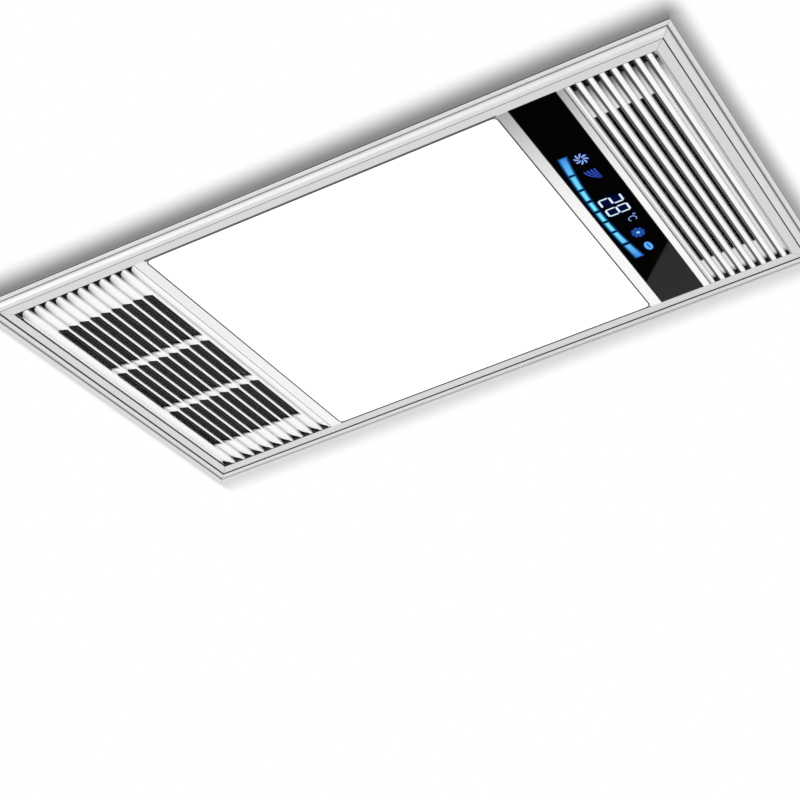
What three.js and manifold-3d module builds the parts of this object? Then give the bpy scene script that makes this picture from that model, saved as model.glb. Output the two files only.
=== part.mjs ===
// Bathroom ceiling heater: a flush ceiling unit with a heater grille, a light panel, a display
// strip and an extraction grille in one framed face, and a sheet metal housing above it that
// holds the blower, the heating element, the swing vanes and the duct outlet.
// Millimetres, +Z up. The origin is the middle of the ceiling plane: the trim frame's upper
// faces lie on it, the room is below and the ceiling void above. The face looks down.
// X runs along the unit, from the heater grille at -X to the extraction grille at +X.

import * as THREE from 'three';
import { mergeVertices } from 'three/addons/utils/BufferGeometryUtils.js';
import Module from 'manifold-3d';

const wasm = await Module();
wasm.setup();

// Clearances shared by the whole part
const seatGap = 0.3; // between a piece and the piece that carries it, where they are not face to face
const runningGap = 0.4; // round a pin that turns in its hole
const overrun = 1; // how far a cutting tool runs past what it cuts

// The face, in order from the heater end to the extraction end
const sideTrimWidth = 9.1;
const longTrimWidth = 13;
const heaterBorder = 6.4;
const heaterOpening = 89;
const lightStrip = 8.5;
const lightLength = 241.4;
const displayStrip = 8.8;
const glassWidth = 30.9;
const exhaustStrip = 5.4;
const exhaustOpening = 59.2;
const exhaustBorder = 7.2;
const openingWidth = 280;
const longBorder = 9.2;
const lightInset = 1.5; // the light panel's ends lie this far inside the openings' ends

// Levels of the face
const faceDepth = 1.8; // the face lies this far below the ceiling plane
const plateThickness = 1;
const rimGap = 0.2; // between the flange of an insert, which lies on the plate, and the guard mesh
const insertOverlap = 2; // how far that flange reaches over the plate

// Trim frame section
const trimDepth = 2.3;
const trimEdge = 0.8;
const trimNose = 0.2; // the chamfer along the inner edge
const trimGap = 0.6; // between the inner edge and the face plate
const beadDepth = 1.2;
const grooveDepth = 0.45;
const grooveLevel = 0.8; // the depth of the surface just inside the groove
const webThickness = 1.5;
const webHeight = 22;
const ledgeReach = 3;
const beadShare = 0.36;
const grooveShare = 0.05;
const mouldShare = 0.8; // the moulding has its full depth from here on inwards
const trimSteps = 8;
const mitreGap = 0.12;
const panelGap = 0.3;
const keyLeg = 24;
const keyThickness = 1.5;
const keyHeight = 12;
const keyLift = 3;

// Heater grille: a row of sloping blades, punched in three rows of windows
const bladePitch = 8.05;
const firstBay = 9.4;
const bladeDepth = 2.4;
const bladeThickness = 1;
const windowWidth = 6.4;
const windowLip = 0.9; // what is left of a blade's upright edge along a window
const windowRows = [66.6, 62.9, 65.8];
const windowBar = 7.5;
const windowShift = 3.7; // the window rows lie this far off the middle
const grilleEndGap = 0.6;
const flangeLap = 0.2; // how far the ends of both grilles reach under their flange

// Notches where the end of each blade is drawn up from the border, wide at the end and
// running out to nothing along the ridge
const notchWidth = 5.6;
const notchNear = 13;
const notchFar = 11;
const notchShares = [[1, 0.16], [0.62, 0.3], [0.32, 0.5], [0.12, 0.75], [0, 1]];

// Extraction grille: flat ridges with valleys between, all but the last two slotted
const ridgeInset = 3;
const valleyPitch = 7.48;
const valleyWidth = 3.7;
const valleyFloor = 2.5;
const valleyDepth = 1.6;
const grilleSkin = 0.8;
const plainValleys = 2;
const slotInset = 0.5;
const slotWidth = 2.3;
const slotLength = 206.5;
const slotShift = 5.6;
const exhaustEndGap = 0.3;
const endHoles = [10, 1.5]; // the open ends of each valley, near and far
const endRamp = 6.5; // and the ramps that lead to them
const holeInset = 0.35; // from a valley's edges in to the sides of its open ends

// Guard mesh behind the heater grille, held between the grille's flange and the housing's
const meshThickness = 0.4;
const meshInset = 0.8;
const meshHole = 6.15;
const meshRows = 4;
const meshWire = 2.6;
const meshMargin = 3;
const meshLap = 1;

// Light panel
const lightCorner = 3;
const lightGap = 1;
const traySheet = 1;
const trayHeight = 20;
const boardThickness = 1.6;
const ledSize = 5;
const ledHeight = 1.2;
const ledColumns = 4;
const ledRows = 5;
const ledMarginShare = 0.12;
const driverLength = 110;
const driverWidth = 38;
const driverHeight = 20;
const driverWall = 3;
const driverInset = 12;

// Display strip
const carrierFlange = 2;
const carrierWall = 1.6;
const carrierHeight = 13;
const displayWindowLength = 160;
const displayLip = 3;
const boardLift = 4;
const boardGap = 0.5;

// Housing
const housingEndInset = 13.4; // from the face plate's edge in to the housing wall
const housingSideInset = 13.2;
const sheet = 1;
const flangeGap = 0.5;
const swagePlace = 75; // two ribs pressed up in the roof, this far from its middle
const swageWidth = 16;
const swageTop = 9;
const swageHeight = 2;
const swageEnd = 40;
const hangerLength = 330;
const hangerLeg = 22;
const hangerSheet = 2;
const hangerLevel = 118;
const hangerHole = 9;
const hangerHoleInset = 20;

// Screws that join the housing flange to the face plate
const screwRadius = 1.5;
const screwHeadRadius = 3.1;
const screwHeadHeight = 2;
const screwTip = 0.6; // the screw ends this far above the visible face
const bossWall = 1;
const screwPlace = 110;
const bossEdgeGap = 0.1; // between a boss and the flange of the light panel

// Duct outlet and its backdraught shutter
const spigotOuter = 98;
const spigotWall = 1.5;
const spigotLength = 34;
const spigotFlange = 4.5;
const spigotRim = 0.5; // between the spigot's flange and the roof
const outletLift = 0.1; // the outlet's lowest edge lies this far above the damper shaft's axis
const beadHeight = 1.4;
const beadWidth = 3;
const beadInset = 6;
const shutterInset = 12;
const wingThickness = 1.2;
const wingGap = 1;
const hingePin = 1.5;
const knuckleWall = 1.4;
const wingSteps = 12;

// Heater duct, heating element and swing vanes
const ductLeftGap = 0.6;
const ductGap = 2; // between the vane frame and the heater duct above it
const motorEndGap = 4; // between the small motors on the duct's ends and the housing
const deckSheet = 1.2;
const coreFloorGap = 0.2;
const coreEndRoom = 18; // from the heating bars' ends to the duct's ends
const coreWidth = 56;
const coreHeight = 24;
const coreBar = 8;
const coreBars = 3;
const finThickness = 0.6;
const finPitch = 8;
const capLength = 8;
const capLip = 2;
const cutoutRadius = 8.5;
const cutoutTopShare = 0.7;
const cutoutHeight = 7;
const cutoutLevel = 110;

const vaneFrameInset = 0.4;
const vaneFrameHeight = 40;
const vaneCount = 3;
const vanePitch = 22;
const vaneChord = 26;
const vaneThickness = 3;
const vaneEdgeShare = 0.2; // thickness at a vane's edges, of that on its axis
const vaneSteps = 8;
const vanePin = 2;
const vaneEndGap = 1;
const vaneLevelShare = 0.5;
const crankArm = 11;
const crankPin = 1.5;
const crankThickness = 3;
const crankGap = 1;
const linkThickness = 2;
const linkMargin = 4;
const smallMotorRadius = 13;
const smallMotorLength = 13;
const smallMotorBevel = 1.5;
const smallMotorSocket = 8;
const damperMotorOffset = 8;

const damperAxisInset = 7;
const damperAxisLift = 7;
const damperLap = 0.9; // how far the upright damper reaches past the outlet
const damperTipGap = 5; // between the lying damper's edge and the duct's wall
const damperSheet = 1.6;
const damperShaft = 3;
const damperEndGap = 2;
const damperRib = 3;

// Blower
const fanX = 22;
const fanY = 12;
const wheelRadius = 70;
const bladeSpan = 12;
const wheelGap = 3.5;
const wheelDisc = 1.6;
const bladeSheet = 1.2;
const wheelBlades = 30;
const wheelBladeSteps = 2;
const bladeLean = 9;
const cupInset = 16; // from the blades' inner edges in to the cup round the motor
const cupDepth = 37;
const cutoffGap = 10; // between the wheel and the scroll's tongue
const scrollSpread = 42; // between the wheel and the scroll's widest place
const scrollWall = 1.5;
const scrollHeight = 66.5;
const tongueAngle = 220;
const outletAngle = -90;
const outletInner = -20;
const scrollSteps = 36;
const inletLap = 4; // the inlet is this much narrower than the wheel's eye
const inletFlare = 8;
const coverThickness = 1.5;
const hubRadius = 8;
const hubLength = 8;
const shaftRadius = 3;
const shaftBore = 28;
const nutRadius = 6;
const nutHeight = 4;
const cupGap = 6; // between the motor and the cup
const motorGap = 3;
const motorTopGap = 3.5;
const motorLip = 5;
const motorLipHeight = 3;
const motorBevel = 4;
const motorHoleGap = 10;
const bracketLap = 14;
const bracketSheet = 2;
const strapWidth = 30;
const strapFoot = 18;
const strapSheet = 1.2;
const strapGap = 4;
const strapRise = 26;
const strapAngles = [10, 100, 215];

// Terminal box on the outside of the extraction end, and the control board inside
const terminalWidth = 62;
const terminalHeight = 58;
const terminalDepth = 18;
const terminalWall = 2;
const terminalY = -70;
const terminalLevel = 72;
const terminalCoverSheet = 1.6;
const blockHeight = 14;
const blockWidth = 46;
const blockDepth = 10;
const blockPoles = 5;
const poleRadius = 3;
const poleDepth = 3;
const glandRadius = 8;
const glandBore = 4;
const glandHeight = 12;
const glandNut = 4;
const wireHole = 12;
const boardWidth = 90;
const boardHeight = 60;
const boardY = 20;
const boardLevel = 78;
const standoff = 6;
const standoffRadius = 3;
const boardInset = 6;
const relaySize = 16;
const relayHeight = 14;
const relays = 3;

// Derived places along the unit
const panelLength = heaterBorder + heaterOpening + lightStrip + lightLength + displayStrip
  + glassWidth + exhaustStrip + exhaustOpening + exhaustBorder;
const panelWidth = openingWidth + 2 * longBorder;
const outerLength = panelLength + 2 * sideTrimWidth;
const outerWidth = panelWidth + 2 * longTrimWidth;
const heaterLeft = -panelLength / 2 + heaterBorder;
const heaterRight = heaterLeft + heaterOpening;
const lightLeft = heaterRight + lightStrip;
const lightRight = lightLeft + lightLength;
const glassLeft = lightRight + displayStrip;
const glassRight = glassLeft + glassWidth;
const exhaustLeft = glassRight + exhaustStrip;
const exhaustRight = exhaustLeft + exhaustOpening;
const lightWidth = openingWidth - 2 * lightInset;
const bladeCount = 1 + Math.floor((heaterOpening - firstBay) / bladePitch);
const valleyCount = 1 + Math.floor((exhaustOpening - ridgeInset - valleyWidth) / valleyPitch);

// Derived levels of the face
const faceLevel = -faceDepth;
const plateTop = faceLevel + plateThickness;
const meshLevel = faceLevel + bladeDepth + bladeThickness;
const insertTop = meshLevel - rimGap;
const flangeLevel = meshLevel + meshThickness;

// Derived sizes of the housing and what it holds, from the face upwards
const wallX = panelLength / 2 - housingEndInset;
const wallY = panelWidth / 2 - housingSideInset;
const ductFloor = flangeLevel + vaneFrameHeight + ductGap;
const deckLevel = ductFloor + coreFloorGap + capLip + coreHeight;
const damperZ = deckLevel + deckSheet + damperAxisLift;
const spigotInner = spigotOuter / 2 - spigotWall;
const spigotLevel = damperZ + outletLift + spigotInner;
const housingTop = spigotLevel + spigotOuter / 2 + spigotFlange + spigotRim;
const roofLevel = housingTop - sheet;
const scrollTop = roofLevel - strapRise;
const scrollFloor = scrollTop - scrollHeight;

// Derived sizes of the heater duct
const damperReach = 2 * spigotInner + outletLift + damperLap;
const ductLeft = -wallX + sheet + ductLeftGap;
const ductRight = ductLeft + damperAxisInset + damperReach + damperTipGap;
const ductHalf = wallY - sheet - motorEndGap - smallMotorLength;
const damperX = ductLeft + damperAxisInset;

// Derived sizes of the blower
const scrollSmall = wheelRadius + cutoffGap;
const scrollLarge = wheelRadius + scrollSpread;
const wheelInner = wheelRadius - bladeSpan;
const inletRadius = wheelInner - inletLap;
const cupRadius = wheelInner - cupInset;
const motorRadius = cupRadius - cupGap;
const motorHole = motorRadius + motorHoleGap;
const bracketRadius = motorHole + bracketLap;
const strapReach = bracketRadius + strapGap;
const outletOuter = fanY - scrollLarge;

const radians = THREE.MathUtils.degToRad;

// Solid helpers

function prepared(geometry) {
  const bare = geometry.clone();
  bare.deleteAttribute('normal');
  bare.deleteAttribute('uv');
  const merged = mergeVertices(bare);
  const place = merged.getAttribute('position');
  const triangles = [];
  let volume = 0;
  const a = new THREE.Vector3();
  const b = new THREE.Vector3();
  const c = new THREE.Vector3();
  for (let i = 0; i < merged.index.count; i += 3) {
    const [p, q, r] = [0, 1, 2].map((k) => merged.index.getX(i + k));
    if (p === q || q === r || r === p) continue;
    a.fromBufferAttribute(place, p);
    b.fromBufferAttribute(place, q);
    c.fromBufferAttribute(place, r);
    volume += a.dot(b.cross(c));
    triangles.push(p, q, r);
  }
  if (volume < 0) triangles.reverse();
  return { place: Float32Array.from(place.array), triangles: Uint32Array.from(triangles) };
}

function solid(geometry) {
  const { place, triangles } = prepared(geometry);
  return new wasm.Manifold(new wasm.Mesh({ numProp: 3, vertProperties: place, triVerts: triangles }));
}

function geometryOf(body) {
  const mesh = body.getMesh();
  const geometry = new THREE.BufferGeometry();
  geometry.setAttribute('position', new THREE.BufferAttribute(Float32Array.from(mesh.vertProperties), 3));
  geometry.setIndex(Array.from(mesh.triVerts));
  return geometry;
}

function fuse(pieces) {
  return geometryOf(pieces.map(solid).reduce((whole, piece) => whole.add(piece)));
}

function carve(base, tools) {
  return geometryOf(tools.map(solid).reduce((whole, tool) => whole.subtract(tool), solid(base)));
}

function block(x0, x1, y0, y1, z0, z1) {
  const box = new THREE.BoxGeometry(x1 - x0, y1 - y0, z1 - z0);
  return box.translate((x0 + x1) / 2, (y0 + y1) / 2, (z0 + z1) / 2);
}

function outline(points, holes = []) {
  const shape = new THREE.Shape(points.map(([x, y]) => new THREE.Vector2(x, y)));
  shape.holes = holes.map((hole) => new THREE.Path(hole.map(([x, y]) => new THREE.Vector2(x, y))));
  return shape;
}

function extrude(shape, depth) {
  return new THREE.ExtrudeGeometry(shape, { depth, bevelEnabled: false, curveSegments: 4 });
}

function prismZ(points, z0, z1, holes = []) {
  return extrude(outline(points, holes), z1 - z0).translate(0, 0, z0);
}

// A profile of [x, z] points, run along Y
function prismY(points, y0, y1) {
  return extrude(outline(points), y1 - y0).rotateX(Math.PI / 2).translate(0, y1, 0);
}

// A profile of [radius, height] points, turned about Z
function revolve(points, segments) {
  const profile = points.map(([r, z]) => new THREE.Vector2(r, z));
  return new THREE.LatheGeometry(profile, segments).rotateX(Math.PI / 2);
}

function ring(inner, outer, z0, z1, segments) {
  return revolve([[inner, z0], [outer, z0], [outer, z1], [inner, z1], [inner, z0]], segments);
}

function disc(radius, z0, z1, segments) {
  return revolve([[0, z0], [radius, z0], [radius, z1], [0, z1]], segments);
}

const alongX = (geometry) => geometry.rotateY(Math.PI / 2);
const alongY = (geometry) => geometry.rotateX(-Math.PI / 2);

function roundedRectangle(x0, x1, y0, y1, radius, steps) {
  const points = [];
  const corners = [[x1 - radius, y1 - radius], [x0 + radius, y1 - radius],
    [x0 + radius, y0 + radius], [x1 - radius, y0 + radius]];
  corners.forEach(([cx, cy], quarter) => {
    for (let i = 0; i <= steps; i += 1) {
      const angle = (quarter + i / steps) * (Math.PI / 2);
      points.push([cx + radius * Math.cos(angle), cy + radius * Math.sin(angle)]);
    }
  });
  return points;
}

const rectangle = (x0, x1, y0, y1) => [[x0, y0], [x1, y0], [x1, y1], [x0, y1]];

// Finishes
const finish = (color, roughness, metalness) => new THREE.MeshStandardMaterial({ color, roughness, metalness });
const silver = finish(0xd9dadb, 0.35, 0.8);
const whiteEnamel = finish(0xf4f4f2, 0.45, 0);
const opal = finish(0xffffff, 0.3, 0);
const blackGlass = finish(0x060607, 0.08, 0);
const charcoal = finish(0x232323, 0.6, 0.3);
const zinc = finish(0xb4b8bb, 0.45, 0.9);
const aluminium = finish(0xc9cbcd, 0.4, 0.9);
const steel = finish(0x8f9498, 0.35, 1);
const blackPlastic = finish(0x1c1d1f, 0.55, 0);
const greyPlastic = finish(0x9a9c9e, 0.6, 0);
const circuitGreen = finish(0x1d5a36, 0.5, 0);
const whitePlastic = finish(0xe8e8e4, 0.5, 0);

const unit = new THREE.Group();

function group(parent, x, y, z) {
  const made = new THREE.Group();
  made.position.set(x, y, z);
  parent.add(made);
  return made;
}

function add(parent, name, geometry, material, place = [0, 0, 0], turn = 0) {
  const mesh = new THREE.Mesh(geometry, material);
  mesh.name = name;
  mesh.position.set(...place);
  mesh.rotation.z = turn;
  parent.add(mesh);
  return mesh;
}

// Trim frame: four extruded rails, mitred at the corners, with keys inside the corners

function railProfile(width) {
  const bead = width * beadShare;
  const mould = bead + width * grooveShare;
  const points = [[0, 0], [0, -trimEdge]];
  for (let i = 1; i < trimSteps; i += 1) {
    const angle = (i / trimSteps) * Math.PI;
    points.push([(bead / 2) * (1 - Math.cos(angle)), -trimEdge - (beadDepth - trimEdge) * Math.sin(angle)]);
  }
  points.push([bead, -trimEdge], [bead, -grooveDepth], [mould, -grooveDepth]);
  for (let i = 0; i <= trimSteps; i += 1) {
    const share = i / trimSteps;
    const fall = (1 - Math.cos(share * Math.PI)) / 2;
    const inward = mould + (width * mouldShare - mould) * share;
    points.push([inward, -grooveLevel - (trimDepth - grooveLevel) * fall]);
  }
  points.push(
    [width - trimNose, -trimDepth],
    [width, trimNose - trimDepth],
    [width, plateTop],
    [width + ledgeReach, plateTop],
    [width + ledgeReach, flangeLevel],
    [width, flangeLevel],
    [width, webHeight],
    [width - webThickness, webHeight],
    [width - webThickness, 0],
  );
  return points;
}

// A rail along X with its outer edge on Y = 0, its ends drawn back to the mitre plane
function rail(length, width, mitre) {
  const shape = outline(railProfile(width).map(([u, z]) => [u, z]));
  const geometry = extrude(shape, length);
  const place = geometry.getAttribute('position');
  for (let i = 0; i < place.count; i += 1) {
    const inward = place.getX(i);
    const height = place.getY(i);
    const end = Math.sign(place.getZ(i) - length / 2);
    place.setXYZ(i, -end * (length / 2 - inward * mitre - mitreGap), inward, height);
  }
  const { place: points, triangles } = prepared(geometry);
  const made = new THREE.BufferGeometry();
  made.setAttribute('position', new THREE.BufferAttribute(points, 3));
  made.setIndex(Array.from(triangles));
  return made;
}

function addTrim() {
  const long = rail(outerLength, longTrimWidth, sideTrimWidth / longTrimWidth);
  const side = rail(outerWidth, sideTrimWidth, longTrimWidth / sideTrimWidth);
  add(unit, 'trim_rail_near', long, silver, [0, -outerWidth / 2, 0], 0);
  add(unit, 'trim_rail_far', long, silver, [0, outerWidth / 2, 0], Math.PI);
  add(unit, 'trim_rail_left', side, silver, [-outerLength / 2, 0, 0], -Math.PI / 2);
  add(unit, 'trim_rail_right', side, silver, [outerLength / 2, 0, 0], Math.PI / 2);
}

function addCornerKeys() {
  const z0 = flangeLevel + sheet + keyLift;
  const angle = [[0, 0], [keyLeg, 0], [keyLeg, keyThickness], [keyThickness, keyThickness],
    [keyThickness, keyLeg], [0, keyLeg]];
  const x = panelLength / 2 - mitreGap;
  const y = panelWidth / 2 - mitreGap;
  const corners = [[-x, -y, 0], [x, -y, 1], [x, y, 2], [-x, y, 3]];
  corners.forEach(([cx, cy, quarter], i) => {
    const key = prismZ(angle, z0, z0 + keyHeight);
    add(unit, `corner_key_${i + 1}`, key, steel, [cx, cy, 0], quarter * (Math.PI / 2));
  });
}

// Face plate with its four openings and the bosses for the housing screws

const lightHole = () => roundedRectangle(lightLeft - lightGap, lightRight + lightGap,
  -lightWidth / 2 - lightGap, lightWidth / 2 + lightGap, lightCorner + lightGap, 4);

const bossRadius = screwRadius + seatGap + bossWall;
const bossY = lightWidth / 2 + insertOverlap + bossEdgeGap + bossRadius;
const screwPlaces = [[-screwPlace, -bossY], [screwPlace, -bossY], [screwPlace, bossY], [-screwPlace, bossY]];

function addFacePlate() {
  const x = panelLength / 2 - trimGap;
  const y = panelWidth / 2 - trimGap;
  const half = openingWidth / 2;
  const holes = [
    rectangle(heaterLeft, heaterRight, -half, half),
    lightHole(),
    rectangle(glassLeft - panelGap, glassRight + panelGap, -half - panelGap, half + panelGap),
    rectangle(exhaustLeft, exhaustRight, -half, half),
  ];
  const plate = prismZ(rectangle(-x, x, -y, y), faceLevel, plateTop, holes);
  const bosses = screwPlaces.map(([bx, by]) => disc(bossRadius, faceLevel + screwTip, flangeLevel, 16)
    .translate(bx, by, 0));
  const bores = screwPlaces.map(([bx, by]) => disc(screwRadius + seatGap, faceLevel + screwTip - seatGap,
    flangeLevel + overrun, 12).translate(bx, by, 0));
  add(unit, 'face_frame', carve(fuse([plate, ...bosses]), bores), whiteEnamel);
}

function addFaceScrews() {
  const tip = faceLevel + screwTip;
  const seat = flangeLevel + sheet;
  const profile = [[0, tip], [screwRadius, tip], [screwRadius, seat], [screwHeadRadius, seat],
    [screwHeadRadius, seat + screwHeadHeight / 2], [screwHeadRadius / 2, seat + screwHeadHeight],
    [0, seat + screwHeadHeight]];
  screwPlaces.forEach(([x, y], i) => {
    add(unit, `face_screw_${i + 1}`, revolve(profile, 12), steel, [x, y, 0]);
  });
}

// The flange by which a grille lies on the face plate, round its opening; the grille itself
// ends at the given distance from the middle
function insertRim(x0, x1, end) {
  const half = openingWidth / 2;
  const lap = insertOverlap;
  return prismZ(rectangle(x0 - lap, x1 + lap, -half - lap, half + lap), plateTop, insertTop,
    [rectangle(x0 + lap, x1 - lap, flangeLap - end, end - flangeLap)]);
}

// Heater grille

const ridges = Array.from({ length: bladeCount }, (_, i) => heaterLeft + firstBay + bladePitch * i);

function bladeProfile() {
  const left = heaterLeft + seatGap;
  const right = heaterRight - seatGap;
  const valley = faceLevel + bladeDepth;
  const slope = bladeDepth / bladePitch;
  const tipTop = faceLevel + bladeThickness * (1 + slope);
  const under = [[left, plateTop], [left, valley]];
  const over = [[left - bladeThickness, plateTop], [left - bladeThickness, meshLevel]];
  ridges.forEach((x) => {
    under.push([x, faceLevel], [x, valley]);
    over.push([x - bladeThickness, tipTop], [x - bladeThickness, meshLevel]);
  });
  under.push([right, faceLevel], [right, insertTop]);
  over.push([right - bladeThickness, tipTop], [right - bladeThickness, insertTop]);
  return [...under, ...over.reverse()];
}

// A window takes the blade's sheet and all but the lip of the upright edge beside it
function windows() {
  const run = windowRows.reduce((sum, row) => sum + row, 0) + windowBar * (windowRows.length - 1);
  const tools = [];
  let y = windowShift - run / 2;
  windowRows.forEach((row) => {
    ridges.slice(0, -1).forEach((x) => {
      const profile = [[x, faceLevel - overrun], [x + windowWidth, faceLevel - overrun],
        [x + windowWidth, meshLevel + overrun], [x - bladeThickness, meshLevel + overrun],
        [x - bladeThickness, faceLevel + windowLip], [x, faceLevel + windowLip]];
      tools.push(prismY(profile, y, y + row));
    });
    y += row + windowBar;
  });
  return tools;
}

// A notch starts at each ridge, on its high side, and one at the grille's edge; the last bay's
// is as much narrower as the bay is
function notches() {
  const end = openingWidth / 2 - grilleEndGap;
  const starts = [heaterLeft + seatGap, ...ridges];
  const tools = [];
  starts.forEach((x, i) => {
    const bay = (i + 1 < starts.length ? starts[i + 1] : heaterRight) - x;
    const width = notchWidth * Math.min(1, bay / bladePitch);
    [[-1, notchNear], [1, notchFar]].forEach(([side, length]) => {
      const edge = notchShares.map(([across, along]) => [x + width * across, side * (end - length * along)]);
      const points = [[x, side * end], [x + width, side * end], ...edge];
      tools.push(prismZ(side > 0 ? points.reverse() : points, faceLevel - overrun, meshLevel + overrun));
    });
  });
  return tools;
}

function addHeaterGrille() {
  const half = openingWidth / 2 - grilleEndGap;
  const blades = prismY(bladeProfile(), -half, half);
  const body = fuse([blades, insertRim(heaterLeft, heaterRight, half)]);
  add(unit, 'heater_grille', carve(body, [...windows(), ...notches()]), whiteEnamel);
}

function addGuardMesh() {
  const x0 = heaterLeft - meshLap;
  const x1 = heaterRight + meshLap;
  const y1 = openingWidth / 2 + meshLap;
  const top = meshLevel + meshThickness;
  const holes = [];
  const cell = (2 * (y1 - meshMargin) - meshWire * (meshRows - 1)) / meshRows;
  ridges.slice(0, -1).forEach((x) => {
    for (let row = 0; row < meshRows; row += 1) {
      const y = -y1 + meshMargin + row * (cell + meshWire);
      holes.push(block(x + meshInset, x + meshInset + meshHole, y, y + cell, meshLevel - overrun,
        top + overrun));
    }
  });
  add(unit, 'guard_mesh', carve(block(x0, x1, -y1, y1, meshLevel, top), holes), charcoal);
}

// Extraction grille

const valleyDraft = (valleyWidth - valleyFloor) / 2;

// The edges of the valleys on the face; the last valley is a little narrower
const valleys = Array.from({ length: valleyCount }, (_, i) => {
  const start = exhaustLeft + ridgeInset + valleyPitch * i;
  return [start, Math.min(start + valleyWidth, exhaustRight - seatGap - valleyDraft)];
});

function ridgeProfile() {
  const floor = faceLevel + valleyDepth;
  const left = exhaustLeft + seatGap;
  const right = exhaustRight - seatGap;
  const under = valleys.flatMap(([start, end]) => [[start, faceLevel], [start + valleyDraft, floor],
    [end - valleyDraft, floor], [end, faceLevel]]);
  const back = floor + grilleSkin;
  return [[left, faceLevel], ...under, [right, faceLevel], [right, back], [left, back]];
}

// The open end of a valley, with the ramp that leads to it
function valleyEnd(x0, x1, side, hole) {
  const end = openingWidth / 2 - exhaustEndGap;
  const floor = faceLevel + valleyDepth;
  const top = meshLevel + overrun;
  const profile = [[0, faceLevel - overrun], [0, top], [hole, top], [hole, floor + grilleSkin],
    [hole + endRamp, floor], [hole + endRamp, faceLevel - overrun]];
  const cut = prismY(profile, x0, x1).rotateZ(-Math.PI / 2);
  return side < 0 ? cut.rotateZ(Math.PI).translate(x0 + x1, -end, 0) : cut.translate(0, end, 0);
}

function addExhaustGrille() {
  const half = openingWidth / 2 - exhaustEndGap;
  const body = prismY(ridgeProfile(), -half, half);
  const [nearHole, farHole] = endHoles;
  const cuts = valleys.flatMap(([start, end]) => [
    valleyEnd(start + holeInset, end - holeInset, -1, nearHole),
    valleyEnd(start + holeInset, end - holeInset, 1, farHole),
  ]);
  valleys.slice(0, -plainValleys).forEach(([start]) => {
    cuts.push(block(start + slotInset, start + slotInset + slotWidth, slotShift - slotLength / 2,
      slotShift + slotLength / 2, faceLevel - overrun, meshLevel + overrun));
  });
  const whole = fuse([body, insertRim(exhaustLeft, exhaustRight, half)]);
  add(unit, 'exhaust_grille', carve(whole, cuts), whiteEnamel);
}

// Light panel: opal diffuser, steel tray, board of light emitting diodes and their driver

function addLight() {
  const y = lightWidth / 2;
  const body = prismZ(roundedRectangle(lightLeft, lightRight, -y, y, lightCorner, 4), faceLevel, plateTop);
  const rim = prismZ(rectangle(lightLeft - insertOverlap - lightGap, lightRight + insertOverlap,
    -y - insertOverlap, y + insertOverlap), plateTop, insertTop);
  add(unit, 'light_diffuser', fuse([body, rim]), opal);

  const trayY = wallY - sheet - seatGap;
  const trayTop = insertTop + trayHeight;
  const outer = block(lightLeft - insertOverlap, lightRight + insertOverlap, -trayY, trayY, insertTop, trayTop);
  const inner = block(lightLeft - insertOverlap + traySheet, lightRight + insertOverlap - traySheet,
    -trayY + traySheet, trayY - traySheet, insertTop - overrun, trayTop - traySheet);
  add(unit, 'light_tray', carve(outer, [inner]), whiteEnamel);

  const boardTop = trayTop - traySheet;
  const marginX = lightLength * ledMarginShare;
  const marginY = lightWidth * ledMarginShare;
  const board = block(lightLeft + marginX / 2, lightRight - marginX / 2, -y + marginY / 2, y - marginY / 2,
    boardTop - boardThickness, boardTop);
  const leds = [];
  for (let i = 0; i < ledColumns; i += 1) {
    for (let j = 0; j < ledRows; j += 1) {
      const lx = lightLeft + marginX + ((lightLength - 2 * marginX) * i) / (ledColumns - 1);
      const ly = -y + marginY + ((lightWidth - 2 * marginY) * j) / (ledRows - 1);
      leds.push(block(lx - ledSize / 2, lx + ledSize / 2, ly - ledSize / 2, ly + ledSize / 2,
        boardTop - boardThickness - ledHeight, boardTop - boardThickness));
    }
  }
  add(unit, 'led_board', fuse([board, ...leds]), whitePlastic);

  const driver = block(-driverLength / 2, driverLength / 2, -driverWidth / 2, driverWidth / 2, 0, driverHeight);
  const groove = block(-driverLength / 2 - overrun, driverLength / 2 + overrun, -driverWidth / 2 + driverWall,
    driverWidth / 2 - driverWall, driverHeight - driverWall / 2, driverHeight + overrun);
  add(unit, 'led_driver', carve(driver, [groove]), whitePlastic,
    [ductRight + driverInset + driverLength / 2, trayY - driverInset - driverWidth / 2, trayTop]);
}

// Display strip: black glass, its carrier and the display board

function addDisplay() {
  const half = openingWidth / 2;
  add(unit, 'display_glass', block(glassLeft, glassRight, -half, half, faceLevel, plateTop), blackGlass);

  const carrierY = wallY - sheet - seatGap;
  const left = glassLeft - carrierFlange;
  const right = glassRight + carrierFlange;
  const tub = block(left, right, -carrierY, carrierY, plateTop, plateTop + carrierHeight);
  const inside = block(left + carrierWall, right - carrierWall, -carrierY + carrierWall, carrierY - carrierWall,
    plateTop + carrierWall, plateTop + carrierHeight + overrun);
  const sight = block(glassLeft + displayLip, glassRight - displayLip, -displayWindowLength / 2,
    displayWindowLength / 2, plateTop - overrun, plateTop + carrierWall + overrun);
  add(unit, 'display_carrier', carve(tub, [inside, sight]), blackPlastic);

  const boardX0 = left + carrierWall + boardGap;
  const boardX1 = right - carrierWall - boardGap;
  const boardY1 = displayWindowLength / 2 + displayLip;
  const seat = plateTop + carrierWall;
  const board = block(boardX0, boardX1, -boardY1, boardY1, seat + boardLift, seat + boardLift + boardThickness);
  const footPlaces = [[-boardY1, displayLip - boardY1], [boardY1 - displayLip, boardY1]];
  const feet = footPlaces.map(([y0, y1]) => block(boardX0, boardX1, y0, y1, seat, seat + boardLift));
  add(unit, 'display_board', fuse([board, ...feet]), circuitGreen);
}

// Housing, its hanger angles and the duct outlet

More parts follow.
